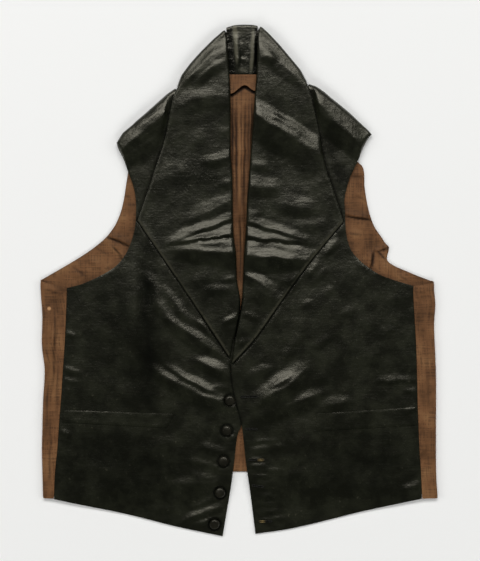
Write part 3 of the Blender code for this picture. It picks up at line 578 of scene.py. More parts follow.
def crossLine(rows):   # a line that runs down, as y and x for reading x at any y
    made = curve(rows, 3)
    made = made[np.argsort(made[:, 1])]
    return made[:, 1], made[:, 0]


rollLine = {side: crossLine(rows) for side, rows in rollEdge.items()}
sideLine = {side: crossLine(rows) for side, rows in sideFold.items()}


def gapAt(y):   # the lapels and the fronts touch from the gap's foot down to where the fronts part
    touching = rise(y, laying["close"]) * rise(y, laying["part"])
    return laying["edgeGap"] * (1 - laying["closed"] * touching)


def rollX(side, y):
    return np.interp(y, *rollLine[side]) + outward[side] * gapAt(y)


def lift(y):
    return laying["lift"] * rise(y, laying["liftOver"])


def hemY(x):   # the back's hem
    middleX, middleY = laying["hemCentre"]
    return middleY - laying["hemFall"] * (np.abs(x - middleX) / laying["hemReach"]) ** laying["hemPower"]


def chest(x, y):   # the low swell of each front over the chest
    return laying["chestSwell"] * bell(np.abs(x), laying["chestAcross"]) * bell(y, laying["chestAlong"])


def lapelCover(side, x, y):   # how far a point of the front lies outside the lapel's edge
    upper, lower = lapelEdge[side]
    rows = sorted((y, x) for x, y in upper[:-1] + lower)
    low, high = rows[0][0], rows[-1][0]
    outside = (x - readRow(rows, np.clip(y, low, high))) * outward[side] - laying["coverFrom"]
    below = np.where(y < low, low - y - laying["coverFrom"], 0)
    apart = np.where((outside < 0) | (y >= low), np.maximum(outside, below), np.hypot(outside, below))
    return np.where(y >= high, 0, np.maximum(apart, 0))


def lapelLine(side):
    upper, lower = lapelEdge[side]
    return np.vstack([curve(upper, 2.2), curve(lower, 2.2)[1:]])


def underFold(side, inset):
    line = innerEdge(collarFold[side], inset, 5, 0.97)
    return line[line[:, 1] < laying["neckY"] - 1]


# The brown back turns round both sides and is sewn to the fronts. Its wrinkles run down the strips.
back = {
    "wall": 1.2, "spacing": 5.0, "edge": 0.3, "shoulderInset": 4.2, "collarInset": 8.5, "neckX": 46.0,
    "waves": [(26, 0.35, 3.1), (9, 0.14, 4.7)], "wander": 1.0, "hollowWander": 4.0, "calmEdge": 5.0,
    "creases": [
        (-238, -40, -240, -160, 3, 1.9, 4, 3), (-231, -25, -236, -130, -2, 1.5, 3, 3),
        (-228, -85, -231, -175, 2, 1.4, 3, 2.5), (-243, -120, -242, -230, -2, 1.3, 4, 3),
        (-236, -155, -238, -265, 1, 1.1, 4, 3), (-246, -15, -245, -100, 1, 0.9, 3, 3),
        (241, -20, 232, -60, 2, 0.6, 4, 5), (238, -90, 240, -190, -2, 0.5, 5, 5),
        (243, -180, 240, -255, 2, 0.45, 4, 4), (-249, -8, -222, -17, 1, 0.8, 3, 5),
        (224, -15, 247, -9, 1, 0.8, 3, 5),
    ],
    # Dark lines of painted shade in the folds, written as creases are.
    "folds": [
        (-233, -20, -238, -160, 2, 0.8, 1.9, 1.9), (-229.5, -80, -232, -195, 1, 0.65, 1.8, 1.8),
        (-244, -50, -243, -210, 1, 0.7, 1.9, 1.9), (-238, -160, -240, -275, 0, 0.6, 1.9, 1.9),
        (236, -60, 240, -180, 1, 0.4, 1.9, 1.9), (-252, -10, -220, -19, 0, 0.6, 1.8, 1.8),
        (222, -17, 250, -11, 0, 0.4, 1.8, 1.8),
    ],
    # Shallow hollows on the outer face, which lies on the surface.
    "hollows": [
        (-60, 190, -20, 60, 6, 0.5, 10, 12), (70, 200, 30, 40, -8, 0.5, 11, 10),
        (-150, 20, -60, -90, 8, 0.45, 12, 10),
        (140, 30, 50, -80, -9, 0.5, 10, 13), (-190, -120, -40, -150, 6, 0.45, 9, 12),
        (190, -140, 60, -170, 5, 0.45, 10, 10), (-120, -210, -90, -60, 4, 0.4, 9, 8),
        (110, -225, 120, -80, -5, 0.4, 9, 9), (-40, 30, 45, 10, 7, 0.35, 9, 10),
    ],
    "seamDepth": 0.5, "seamWidth": 1.3, "foldCrest": 0.2,
}


def stripX(side, x, y):   # the pattern's x for a point that is folded over to the front
    fold = np.interp(y, *sideLine[side])
    return fold + outward[side] * ((math.pi - 2) * laying["sideFold"] + (fold - x) * outward[side])


def backSide(side):
    away, radius = outward[side], laying["sideFold"]
    seam = curve(sideSeam[side], 6)
    topY, hem = sideFold[side][0][1] - 0.5, sideFold[side][-1][1]
    top, bottom = np.interp([topY, hem], *sideLine[side])
    reach, flat = away * radius * (math.pi - 1), away * radius
    seamX = stripX(side, seam[:, 0] + laying["seam"] / 2 * away, seam[:, 1])
    return [
        [(away * back["neckX"], laying["neckY"])],
        underFold(side, back["collarInset"]),
        innerEdge(shoulderFold[side], back["shoulderInset"], 6, 0.97),
        curve(armholeBack[side], 4),
        curve([(top - flat, topY + 1.2), (top + flat, topY - 1), (top + reach, topY - 2)], 1.2),
        np.stack([seamX, seam[:, 1]], 1),
        curve([(bottom + reach, hem), (bottom + flat, hem), (bottom - flat, hem)], 1.2),
    ]


def sideRows(side, step):   # rows along the turn at the side and over the strip past it
    heights = np.arange(sideFold[side][-1][1] + 1, sideFold[side][0][1] - 2, step)
    edge = np.interp(heights, *sideLine[side])
    turn = np.linspace(-1, math.pi - 1, 9) * laying["sideFold"]
    return [np.stack([edge + outward[side] * past, heights], 1) for past in [*turn, *np.arange(6.5, 34, 2.2)]]


def makeBack():
    hemX = np.linspace(-235, 235, 80)
    outline = closeOutline(*backSide("left"), np.stack([hemX, hemY(hemX)], 1),
                           *[run[::-1] for run in backSide("right")[::-1]])

    def lay(x, y):
        away = np.where(x < 0, -1, 1)
        fold = np.where(x < 0, np.interp(y, *sideLine["left"]), np.interp(y, *sideLine["right"]))
        place, turn = bent((x - fold) * away, laying["sideFold"])
        return fold + place * away, y, lift(y) + laying["sideFold"] * (1 - np.cos(turn))

    def relief(x, y, inward):
        raised = creases(back["creases"], x, y, back["wander"]) + waves(back["waves"], x, y)
        return raised * smooth(inward / back["calmEdge"])

    def under(x, y):
        seam = back["seamDepth"] * bell(x, (laying["centreBackX"], back["seamWidth"]))
        return seam + creases(back["hollows"], x, y, back["hollowWander"])

    seamY = np.linspace(-236, 255, 170)
    seamRows = [np.stack([np.full(170, laying["centreBackX"] + by), seamY], 1)
                for by in (0, -1.8, 1.8, -3.6, 3.6)]
    # Shade is painted along the folds down the strips.
    makeCloth("back_cloth", "back", back, outline, lay, relief, backCotton, under=under,
              rows=seamRows + sideRows("left", 2.6) + sideRows("right", 2.6), turned=True,
              tone=lambda x, y: creases(back["folds"], x, y, back["wander"], crest=back["foldCrest"]))


# The back's lining shows in the neck, in the armholes and between the fronts.
lining = {
    "wall": 1.0, "spacing": 4.0, "edge": 0.3, "shoulderInset": 6.6, "collarInset": 9.5, "neckX": 45.0,
    "creases": [
        (3, 246, 3, -10, 1, 3.0, 4, 6), (-7, 246, -4, 90, -1, 1.8, 3, 3.5), (12, 240, 9, 108, 2, 2.0, 4, 3),
        (17, 240, 13, 150, 0, 1.2, 3, 3), (4, 120, 4, 20, 0, 1.2, 2.5, 3),
        (-174, 62, -132, 41, 1, 2.8, 6, 2.2), (-160, 52, -140, 20, -1, 2.2, 5, 2.0),
        (-176, 60, -152, 30, 0, 1.0, 4, 4),
        (-196, 28, -172, 12, 2, 0.8, 5, 5), (-214, 16, -198, 0, 0, 0.7, 4, 5),
        (-150, 96, -135, 90, 0, 0.6, 5, 5),
        (126, 88, 176, 78, -1.5, 2.8, 6, 2.2), (142, 135, 160, 134, 0, 0.8, 5, 4),
        (136, 60, 160, 57, 0, 0.7, 6, 5),
        (163, 6, 171, 41, 1, 3.2, 6, 1.8), (170, 37, 198, 47, -1, 2.0, 5, 1.8),
        (171, 41, 185, 27, 0, 1.6, 3, 2),
        (196, 8, 215, 0, 1, 0.7, 4, 5), (178, 20, 206, 6, 1, 0.7, 4, 5), (148, 112, 160, 106, 0, 0.6, 5, 5),
        (3, -196, 1, -238, 1, 0.6, 4, 4), (-2, -205, -4, -240, 0, 0.5, 3, 3),
    ],
    # Narrow folds, written as creases are: the height is how deep they are and how dark the shade painted in
    # them is.
    "folds": [
        (-4.5, 246, -2.5, 70, 0, 1.1, 2.2, 1.8), (8.5, 244, 6, 60, 0, 0.9, 2.0, 1.8),
        (2.5, 246, 3, 20, 1, 0.55, 1.6, 1.6), (13, 246, 11, 120, 0, 0.8, 1.8, 2.0),
        (-8.5, 250, -8, 130, 0, 0.9, 2.0, 1.8), (17, 246, 14.5, 150, 0, 0.8, 2.0, 2.0),
        (1, 110, 2, -20, 0, 0.8, 1.6, 1.6),
        (0, 246, 0.5, 60, 0, -0.8, 2.4, 2.4), (5.6, 240, 5, 120, 0, -0.5, 1.8, 1.8),   # painted highlights between them
        (-178, 60, -130, 38, 1, 1.2, 2.4, 2.0), (-164, 50, -138, 17, -1, 1.0, 2.2, 1.8),
        (-214, 20, -190, 2, 0, 0.6, 2.2, 2.2), (-186, 44, -160, 30, 0, 0.5, 2.0, 2.0),
        (-150, 110, -136, 104, 0, 0.5, 2.0, 2.0),
        (122, 85, 180, 76, -1.5, 1.2, 2.2, 1.9), (138, 132, 164, 131, 0, 0.5, 2.2, 2.2),
        (166, -2, 173, 44, 1, 1.3, 2.8, 2.2), (170, 35, 204, 47, -1, 1.0, 2.2, 2.0),
        (173, 40, 190, 22, 0, 0.9, 2.2, 1.9), (136, 60, 160, 57, 0, 0.6, 2.0, 2.0),
        (200, 8, 218, -2, 0, 0.5, 2.0, 2.0), (146, 108, 164, 100, 0, 0.4, 2.0, 2.0),
    ],
    "waves": [(22, 0.32, 8.3), (8, 0.14, 2.9)], "wander": 0.9, "calmEdge": 3.0,
    "foldCrest": 0.2, "foldDepth": 0.4,
    # The wrinkles stay where the lining shows: in the armholes, and about the neck's gap.
    "armholeFrom": (128, 8), "armholeAbove": (-12, 8), "gapX": 3.0, "gapReach": (30, -8), "neckFrom": 200.0,
    "hollowBelowBand": 0.7, "hollow": (1.2, 2.4), "bandClear": (-4, 12),
    "shadeTo": (5.6, -3), "shadeX": 4.0, "shadeReach": 30.0, "foldsBelow": (-2, 4),
}
facing = {
    "wall": 1.0, "spacing": 1.4, "edge": 0.35, "waves": [(7, 0.3, 3.3)], "calmEdge": 2.0,
    "lowerEdgeRise": 3.4, "riseOver": (-12.0, 11.0),
    "lower": [(-19, 234.5), (-8, 237), (7, 247), (18, 240.5), (28, 238)],
}


def belowBand(x, y):   # how far a point lies below the neck band's lower edge
    return readRow(facing["lower"], x) - y


def makeLining():
    runs = {}
    for side, away in outward.items():
        armhole = aside(curve(armholeBack[side], 4), -away)
        shoulder = innerEdge(shoulderFold[side], lining["shoulderInset"], 6, 0.9)
        drop = lines([shoulder[-1], armhole[0]], 5)[1:-1]
        y = np.linspace(-5, -270, 50)
        runs[side] = [[(away * lining["neckX"], laying["neckY"])], underFold(side, lining["collarInset"]),
                      shoulder, drop, armhole, np.stack([np.interp(y, *sideLine[side]) - away * 4.8, y], 1)]
    hemX = np.linspace(-235, 235, 80)
    outline = closeOutline(*runs["left"], np.stack([hemX, hemY(hemX) + 1], 1),
                           *[run[::-1] for run in runs["right"][::-1]])

    def lay(x, y):
        return x, y, laying["liningTop"] + lift(y)

    def folds(x, y):
        return creases(lining["folds"], x, y, lining["wander"], crest=lining["foldCrest"])

    def relief(x, y, inward):
        armholes = rise(np.abs(x), lining["armholeFrom"]) * rise(y, lining["armholeAbove"])
        shown = np.maximum(armholes, rise(np.abs(x - lining["gapX"]), lining["gapReach"]))
        below = belowBand(x, y)
        hollow = lining["hollowBelowBand"] * bell(below, lining["hollow"])
        raised = creases(lining["creases"], x, y, lining["wander"]) * rise(below, lining["bandClear"])
        raised += waves(lining["waves"], x, y) * shown - hollow * (y > lining["neckFrom"])
        raised -= np.maximum(0, lining["foldDepth"] * folds(x, y))
        return raised * smooth(inward / lining["calmEdge"])

    # Painted shade in the folds and as a shadow below the neck band, painted highlights where a fold's height
    # is below 0.
    def tone(x, y):
        below = belowBand(x, y)
        inNeck = (y > lining["neckFrom"]) * (np.abs(x - lining["shadeX"]) < lining["shadeReach"])
        return folds(x, y) * rise(below, lining["foldsBelow"]) + rise(below, lining["shadeTo"]) * inNeck

    neckY = np.linspace(-6, 258, 170)
    fine = [np.vstack([np.stack([np.full(170, x), neckY], 1) for x in np.arange(-22, 32, 1.4)])]
    for side, away in outward.items():
        edge = curve(armholeBack[side], 1.8)
        fine.append(np.vstack([aside(edge, -away * (1 + reach)) for reach in np.arange(1.5, 60, 1.5)]))
    makeCloth("back_lining_cloth", "back_lining", lining, outline, lay, relief, liningCotton,
              rows=fine, tone=tone)


# The brown band below the stand: its peaked lower edge stands a little off the lining.
def makeNeckFacing():
    lower = curve(facing["lower"], 1.5)
    x = np.linspace(lower[-1, 0], lower[0, 0], 30)
    outline = closeOutline(lower, np.stack([x, np.full(30, laying["standBaseY"] - laying["seam"])], 1))

    def lay(x, y):
        return x, y, laying["liningTop"] + lift(y) + laying["seam"] + facing["wall"]

    def relief(x, y, inward):
        raised = facing["lowerEdgeRise"] * rise(belowBand(x, y), facing["riseOver"])
        return raised + waves(facing["waves"], x, y) * smooth(inward / facing["calmEdge"])

    makeCloth("neck_facing_cloth", "neck_facing", facing, outline, lay, relief, liningCotton)


# Buttons stand on one front, and the buttonholes are in the other.
button = {
    "places": [(-11.5, -152), (-15.5, -190), (-19.5, -229), (-24, -269), (-31, -309)],
    # Radius and height of the satin drawn over the mould and gathered below it.
    "profile": [(0, 3.9), (2.4, 3.85), (4.3, 3.6), (5.1, 3.3), (5.6, 2.85), (6.0, 2.2), (6.45, 1.4),
                (6.3, 0.8), (5.6, 0.35), (4.4, 0.1), (0, 0)],
    "steps": 56, "gathers": 19, "gatherDepth": 0.16, "gatherFrom": 4.9, "gatherBelow": 3.2,
    "seat": 5.2, "seatGap": 0.3,   # it stands on the highest cloth within this radius
    # The front is flat under each one, gathered round it, and pressed in below its rim, with shade painted
    # dark there.
    "flat": (4.0, 5.0), "clothGather": 0.22, "clothGathers": 9, "gatherRing": (10.0, 3.0),
    "ringDepth": 0.6, "ring": (7.2, 1.4), "ringTone": (7.6, 1.5),
    "tilts": [(3, -2), (-2, 3), (4, 4), (-3, -2), (2, -4)],   # degrees about X and Y
}
buttonhole = {
    # Left end, right end, y, turn in degrees, and where the thread is worn: place, half length, share.
    "rows": [(3.0, 22.5, -147.3, 1.5, 0, 1, 0), (9.0, 22.5, -188.3, 0.5, 0, 1, 0),
             (12.5, 31.0, -227.2, -0.5, 27.5, 5.0, 0.75), (17.5, 30.0, -260.5, -6.0, 0, 1, 0),
             (26.0, 41.0, -305.6, 1.0, 29.5, 4.5, 1.0)],
    "halfGap": 0.42, "bead": 0.5, "thread": 0.26, "pitch": 0.7, "sides": 5, "perTurn": 8,
    "clear": 0.25, "sunk": 0.4, "flatness": 0.75,   # above the cloth, and how round the winding is
    "slipEnds": 0.3, "slipWidth": 0.8, "slipTop": 0.12, "slipBottom": 0.02, "slipStations": 14,
}

# The satin fronts, each with its own listed creases.
front = {
    "wall": 2.0, "spacing": 2.3, "edge": 0.1, "collarInset": 10.5, "inset": 16.6, "tuck": (-28.0, 45.0),
    "dropTo": 2.0, "edgeRoll": 0.1, "rollForm": (2.6, 1.6), "lapelGroove": 0.9, "groove": (0, 1.6),
    "coverRun": 4.5, "rollRun": 4.0, "calmEdge": 3.0, "calmBelow": 0.25,
    "waves": [(38, 0.9, 1.7), (15, 0.34, 6.2), (6, 0.1, 9.4)],
    "meetingFrom": -184.0, "lineTone": 0.9, "line": (0, 2.0), "meeting": (0, 1.3), "toneWander": 5.0,
    "armhole": {
        "left": [(-155, 174.5), (-153.5, 168.5), (-146, 153), (-140, 136.5), (-133.5, 118.5),
                 (-130.5, 99.5), (-130.5, 82), (-132, 65.5), (-136.5, 49), (-144, 32.5), (-155, 19),
                 (-170, 9), (-188, 0), (-202, -5.5), (-218, -9.5)],
        "right": [(168.5, 185.5), (165, 182), (157.5, 168.5), (150.5, 151), (141, 131.5), (136, 115),
                  (133.5, 102), (134, 89.5), (136, 58), (142, 38.5), (153.5, 25), (166.5, 14.5), (179, 7),
                  (192, 2), (204.5, -2), (221, -7)],
    },
    "hem": {
        "left": [(-234.5, -277), (-214.5, -281.5), (-142, -296.5), (-80, -312), (-20.5, -324.5)],
        "right": [(232, -276.5), (162.5, -291.5), (69.5, -314), (20.5, -321.5)],
    },
    "opening": {
        "left": [(-11, -107.5), (-8.5, -134), (-2.5, -159.5), (3, -182), (-2, -197.5), (-5.5, -228),
                 (-9.5, -258.5), (-14.5, -289), (-20.5, -324.5)],
        "right": [(-11, -107.5), (-8.5, -134), (-2.5, -159.5), (3, -182), (5.5, -202.5), (9, -234.5),
                  (12.5, -258.5), (16.5, -289), (20.5, -321.5)],
    },
    "creases": {
        "left": [
            # along the shoulder
            (-172, 145, -56, 243, 0, 7.6, 21, 30), (-140, 180, -92, 222, 1, 1.0, 5, 4),
            # fanning from the lapel's tip
            (-106, -40, -8, -106, 2, 2.6, 9, 8), (-66, -46, -10, -94, 6, 2.0, 7, 6),
            (-100, -4, -58, -60, 0, 1.8, 8, 9), (-114, -12, -72, -70, 0, 2.0, 10, 9),
            (-120, 16, -98, -32, 0, 1.4, 8, 8), (-88, -62, -40, -96, 2, 1.2, 6, 5),
            (-66, -98, -4, -128, 3, 3.0, 12, 10), (-40, -135, -8, -134, 0, 1.0, 6, 6),
            (-124, -100, 8, -163, -9, 4.4, 13, 13), (-104, -96, -8, -147, -8, 2.6, 8, 4),
            # a hollow down the chest
            (-133, 44, -131, -138, 0, 2.6, 12, 24), (-103, 20, -98, -122, 0, 1.6, 24, 12),
            (-226, -64, -204, -73, 0, 1.1, 4, 4), (-228, -110, -198, -119, 0, 1.3, 5, 5),
            (-226, -124, -200, -131, 0, 0.9, 4, 4), (-230, -191, -210, -198, 0, 1.0, 5, 4),
            (-58, -210, -8, -221, 2, 1.7, 8, 6), (-96, -264, -16, -257, 2, 2.2, 11, 8),
            (-82, -313, -10, -284, 3, 3.6, 9, 6), (-62, -315, -16, -299, 1, 2.2, 6, 4),
            (-66, -291, -24, -275, 1, 1.6, 6, 5), (-120, -291, -74, -288, 0, 1.0, 8, 7),
            # beside the buttons
            (-8, -163, 0, -157, 0, 1.0, 4, 4), (-11, -201, -4, -195, 0, 1.0, 4, 4),
            (-18, -280, -11, -274, 0, 1.0, 4, 4), (-33, -238, -27, -234, 0, 0.7, 3, 3),
            (-190, -60, -160, -68, 0, 0.6, 14, 14), (-200, -236, -150, -246, 2, 0.8, 14, 14),
            (-110, -210, -70, -200, 0, 0.8, 12, 12), (-70, -228, -30, -236, 1, 1.0, 6, 5),
            (-64, -246, -28, -250, 0, 0.9, 5, 5),
        ],
        "right": [
            # along the shoulder
            (64, 260, 176, 148, 0, 7.6, 21, 24), (96, 220, 138, 182, 0, 1.0, 5, 4),
            # beside the lapel
            (84, 2, 106, 28, 0, 1.5, 5, 7), (106, 28, 128, 56, 0, 1.6, 5, 7),
            (84, -8, 116, 20, 0, 0.8, 6, 7), (76, -31, 96, -25, 0, 0.7, 5, 5),
            (54, -104, 78, -66, 0, 1.0, 8, 8), (92, -88, 118, -66, 0, 0.9, 7, 7),
            # towards the first button
            (8, -166, 96, -104, -3, 6.2, 20, 20), (34, -140, 74, -112, -1, 1.2, 5, 4),
            (10, -181, 118, -140, 3, 3.5, 13, 15), (92, -164, 150, -150, 0, 1.6, 10, 10),
            (168, -129, 230, -126, 0, 1.7, 8, 2.6), (208, -139, 228, -141, 0, 0.9, 4, 3),
            (206, -168, 230, -160, 0, 0.8, 5, 4), (202, -267, 236, -256, 0, 1.7, 7, 5),
            (14, -214, 64, -208, 0, 1.0, 6, 6), (6, -124, 50, -112, 3, 1.2, 8, 8),
            (126, -44, 150, -36, 0, 0.6, 7, 7), (170, -70, 200, -60, 0, 0.6, 9, 9),
            (100, -20, 124, -10, 0, 0.6, 7, 7), (88, -130, 116, -120, 0, 0.6, 9, 9),
            (96, -214, 146, -206, 0, 0.7, 11, 11), (52, -250, 96, -240, 0, 0.7, 10, 10),
            (144, 16, 176, 34, 0, 0.7, 10, 10), (180, -226, 216, -214, 0, 0.6, 10, 10),
            (140, -100, 190, -90, 0, 0.7, 16, 16),
        ],
    },
    # Where shade is painted dark on the silk, and its gloss made smoother, written as creases are.
    "paintedShade": {
        "left": [(-118, 80, -112, -190, 0, 0.85, 19, 17), (-250, -232, -50, -238, 4, 0.5, 64, 66),
                 (-190, 10, -120, -200, 12, 0.3, 44, 44)],
        "right": [(104, 196, 140, 104, 0, 0.6, 16, 14), (60, 10, 84, -30, 0, 0.2, 10, 10),
                  (60, -246, 250, -226, 4, 0.4, 56, 50)],
    },
    # Fine puckers across the buttonhole side: first and last y, step, mean length and height.
    "puckers": (-206.0, -312.0, 7.2, 32.0, 1.2), "puckerSeed": 8,
}


def addPuckers():
    first, last, step, length, peak = front["puckers"]
    draw = np.random.default_rng(front["puckerSeed"])
    for y in np.arange(first, last, -step):
        edgeX = float(np.interp(y, [-321.5, -202.5], [20.5, 5.5]))   # the opening's edge
        startX = edgeX + draw.uniform(1, 9)
        endX = startX + length * draw.uniform(0.6, 1.5)
        startY = y + draw.uniform(-1.6, 1.6)
        endY, bow = startY + draw.uniform(-1, 5), draw.uniform(-1, 2)
        height = peak * draw.uniform(0.5, 1.3)
        flanks = draw.uniform(3, 5), draw.uniform(3, 5)
        front["creases"]["right"].append((startX, startY, endX, endY, bow, height, *flanks))


def frontBase(x, y):   # the front's upper face: on the lining, and down to the surface below the back's hem
    down = smooth((hemY(x) - y + 1) / laying["dropRun"])
    drop = (laying["frontTop"] - front["dropTo"]) * down
    return laying["frontTop"] + lift(y) - drop + chest(x, y) * (1 - down)


def frontRelief(side, x, y):
    down = smooth((hemY(x) - y + 1) / laying["dropRun"])
    cover = smooth(lapelCover(side, x, y) / front["coverRun"])
    relief = creases(front["creases"][side], x, y) + waves(front["waves"], x, y)
    relief = relief * cover * (1 - front["calmBelow"] * down)
    if side == "left":
        for bx, by in button["places"]:
            apart = np.hypot(x - bx, y - by)
            around = np.sin(button["clothGathers"] * np.arctan2(y - by, x - bx) + bx)
            drawn = button["clothGather"] * around * bell(apart, button["gatherRing"])
            drawn -= button["ringDepth"] * bell(apart, button["ring"])
            relief = relief * rise(apart, button["flat"]) + drawn
    return relief


def frontTop(side, x, y):
    x, y = np.atleast_1d(np.asarray(x, float)), np.atleast_1d(np.asarray(y, float))
    return frontBase(x, y) + frontRelief(side, x, y)


def makeFront(side):
    away, fold = outward[side], shoulderFold[side]
    start, _, _, length = foldWay(fold)

    def radiusAt(y):
        return laying["frontTop"] + lift(y) - laying["shoulderFloor"]

    def shoulderPoint(t, turn):
        edge = foldPoint(fold, 0, t, 0)
        return foldPoint(fold, radiusAt(edge[1]), t, turn)

    stations = np.linspace(3.2, length - 7, 32)
    rim = [shoulderPoint(t, math.pi / 2) for t in stations]
    notch = [shoulderPoint(stations[0], turn) for turn in (0, 0.3, 0.6, 0.9, 1.2)]
    tip = [shoulderPoint(length - 4, 1.4), shoulderPoint(length - 1.5, 1.1)]
    covered = underFold(side, front["collarInset"])
    top = laying["neckY"] - 3.5
    y = np.linspace(top, lapelTip[side] + 2, 110)
    tuck = front["inset"] * rise(y, front["tuck"])   # below that the fronts close the gap
    inner = np.stack([rollX(side, y) + away * tuck, y], 1)
    seam = curve(sideSeam[side], 4) - [away * laying["seam"] / 2, 0]
    opening = curve(front["opening"][side], 3)
    opening = aside(opening, away * gapAt(opening[:, 1:]))
    outline = closeOutline([(covered[0][0] - away * 3, top)], covered, notch, rim, tip,
                           curve(front["armhole"][side], 2.6), seam, curve(front["hem"][side], 3)[:-1],
                           opening[::-1], inner[::-1])

    def lay(x, y):
        past, t, way = pastFold(fold, x, y)
        folds = (y < start[1] + 12) & (past > -12) & (t > 0)
        radius = radiusAt(y)
        place, turn = bent(past, radius)
        shift = np.where(folds, place - past, 0)
        drop = np.where(folds, radius * (1 - np.cos(turn)), 0)
        return x + way[0] * shift, y + way[1] * shift, frontBase(x, y) - drop

    def relief(x, y, inward):
        roll = front["edgeRoll"] * bell(inward, front["rollForm"])
        roll *= smooth(lapelCover(side, x, y) / front["rollRun"])
        beside = fromLine(lapelLine(side), np.stack([x, y], 1))
        groove = front["lapelGroove"] * bell(beside, front["groove"])
        return (frontRelief(side, x, y) - groove) * smooth(inward / front["calmEdge"]) + roll

    meeting = curve(front["opening"][side], 3)
    meeting = meeting[meeting[:, 1] > front["meetingFrom"]]

    # Painted shade: dark lines beside the lapel's edge and where the fronts meet, dark rings round the
    # buttons, and the darker places in the table.
    def tone(x, y):
        points = np.stack([x, y], 1)
        paintedShade = front["lineTone"] * bell(fromLine(lapelLine(side), points), front["line"])
        paintedShade += front["lineTone"] * bell(fromLine(meeting, points), front["meeting"])
        if side == "left":
            for bx, by in button["places"]:
                paintedShade += bell(np.hypot(x - bx, y - by), button["ringTone"])
        return paintedShade + creases(front["paintedShade"][side], x, y, front["toneWander"])

    rows = [np.array([shoulderPoint(t, turn) for t in stations]) for turn in np.linspace(0, 1.45, 7)]
    rows += [aside(lapelLine(side), -away * by) for by in (0, 1.1, 2.2, 3.4)]
    makeCloth(f"front_{side}_cloth", f"front_{side}", front, outline, lay, relief, frontSatin,
              rows=rows, tone=tone)


# The shawl collar in two halves: lapel, rolled inner edge, outer fold and the fall behind the neck.
collar = {
    "wall": 2.0, "spacing": 2.2, "edge": 0.55, "returnWidth": 12.0, "swell": (0, 32.0), "swellRun": 20.0,
    "fullFromTip": (20.0, 48.0), "fullTo": (268.0, 42.0), "lowShare": (0.25, 0.5),   # what turns under
    "waves": [(34, 0.8, 5.5), (14, 0.32, 7.7), (6, 0.1, 0.4)], "calmEdge": 4.0,
    "calmFold": (2.0, 10.0), "calmRoll": (-1.0, 6.0), "edgeRoll": 0.4, "rollForm": (2.8, 1.5),
    "edgeHighlight": 0.5, "wearAndHighlight": (1.5, 0.9),   # a painted highlight along the lapel's lower edge
    "rollTone": 0.9, "rollLine": (0, 1.6), "rollToneOver": (-12.0, -16.0), "toneWander": 5.0,
    "rise": [(-110, 0.7), (-80, 1.8), (-60, 2.8), (-20, 3.0), (198, 3.0), (232, 4.2), (330, 4.2)],
    "fall": {
        "left": [(-74, 243), (-50, 240.2), (-20, 239), (laying["centreBackX"] - 0.3, 239)],
        "right": [(82, 248), (56, 242.2), (26, 239.4), (laying["centreBackX"] + 0.3, 239)],
    },
    "creases": {
        "left": [
            # inside the collar's fold
            (-84, 240, -12, 300, 1, 3.0, 16, 9), (-70, 240, -8, 284, 1, 2.4, 12, 10),
            (-92, 210, 2, 229, 12, 1.5, 15, 17),   # the arc below it
            (-52, 149, 8, 157, 1, 1.8, 10, 10), (-26, 187, -1, 190, 0, 0.6, 6, 6),
            (-28, 121, 0, 124, 0, 0.9, 7, 7), (-84, 66, 30, 118, 0, 1.9, 14, 18),
            # the fan at the corner's height
            (-96, 44, 66, 99, 3, 2.9, 11, 2.6), (-100, 44, 62, 65, 2, 4.4, 17, 2.6),
            (-104, 40, 60, 30, 1, 6.4, 23, 18),
            (-80, 58, -10, 74, 1, 1.3, 6, 5), (-70, 47, 4, 50, 0, 1.0, 5, 5),
            (-28, 17, 0, 21, 0, 1.0, 6, 6), (-24, -1, 0, 3, 0, 0.8, 5, 5),
            (-56, -14, 0, -12, 1, 1.1, 8, 8), (-24, -58, 6, -40, 0, 1.6, 6, 5),
            (-104, 120, -56, 146, 2, 0.8, 18, 18), (-70, 172, -34, 184, 0, 0.8, 16, 16),
            (-96, 172, -62, 190, 0, 0.7, 16, 16), (-66, -4, -30, 8, 0, 0.6, 10, 10),
        ],
        "right": [
            (20, 302, 90, 240, 0, 2.4, 13, 13), (22, 283, 50, 279, 0, 1.2, 6, 8),
            # the strong band across
            (-34, 248, 126, 148, -4, 6.6, 21, 30), (30, 214, 92, 182, 1, 1.2, 6, 6),
            (34, 202, 84, 176, 0, 0.9, 5, 4), (8, 146, 40, 142, 1, 1.0, 8, 8),
            (-6, 120, 62, 112, 2, 2.0, 14, 14), (36, 100, 106, 86, 2, 1.9, 15, 16),
            (4, 84, 32, 82, 1, 0.9, 7, 7),
            # the fan, over the neck's gap
            (-58, 92, 100, 46, 2, 2.5, 10, 2.6), (-62, 60, 104, 44, 2, 3.9, 15.5, 2.6),
            (-64, 34, 118, 24, 1, 6.2, 22, 18),
            (10, 52, 70, 40, 1, 1.2, 5, 5), (16, 30, 76, 24, 0, 1.0, 6, 6),
            (-6, 16, 52, -22, 2, 3.0, 11, 12), (4, -8, 62, -31, 1, 2.2, 11, 16),
            (44, -2, 92, 4, 0, 0.9, 9, 9), (0, -40, 30, -49, 0, 0.9, 5, 5),
            (-6, -79, 20, -76, 0, 0.9, 5, 5), (70, 146, 104, 134, 0, 0.9, 14, 14),
            (56, 66, 114, 72, 0, 0.8, 10, 12), (20, 180, 60, 168, 0, 0.8, 14, 14),
        ],
    },
    # Where shade is painted dark on the silk, and its gloss made smoother, written as creases are.
    "paintedShade": {
        "left": [(-108, 116, -6, 150, 0, 0.4, 42, 30), (-110, 0, 10, -20, 0, 0.25, 26, 40)],
        "right": [(4, 172, 118, 128, 0, 0.3, 16, 16), (4, 6, 110, -6, 0, 0.25, 16, 30)],
    },
}


def rollReach(side, y):   # how much cloth turns under at the rolled inner edge
    full = math.pi * laying["roll"] + collar["returnWidth"]
    nearTip = rise(y - lapelTip[side], collar["fullFromTip"])
    nearTop = 1 - rise(y, collar["fullTo"])
    low = np.where(y < 0, *collar["lowShare"]) * math.pi * laying["roll"]
    return low + (full - low) * nearTip * nearTop


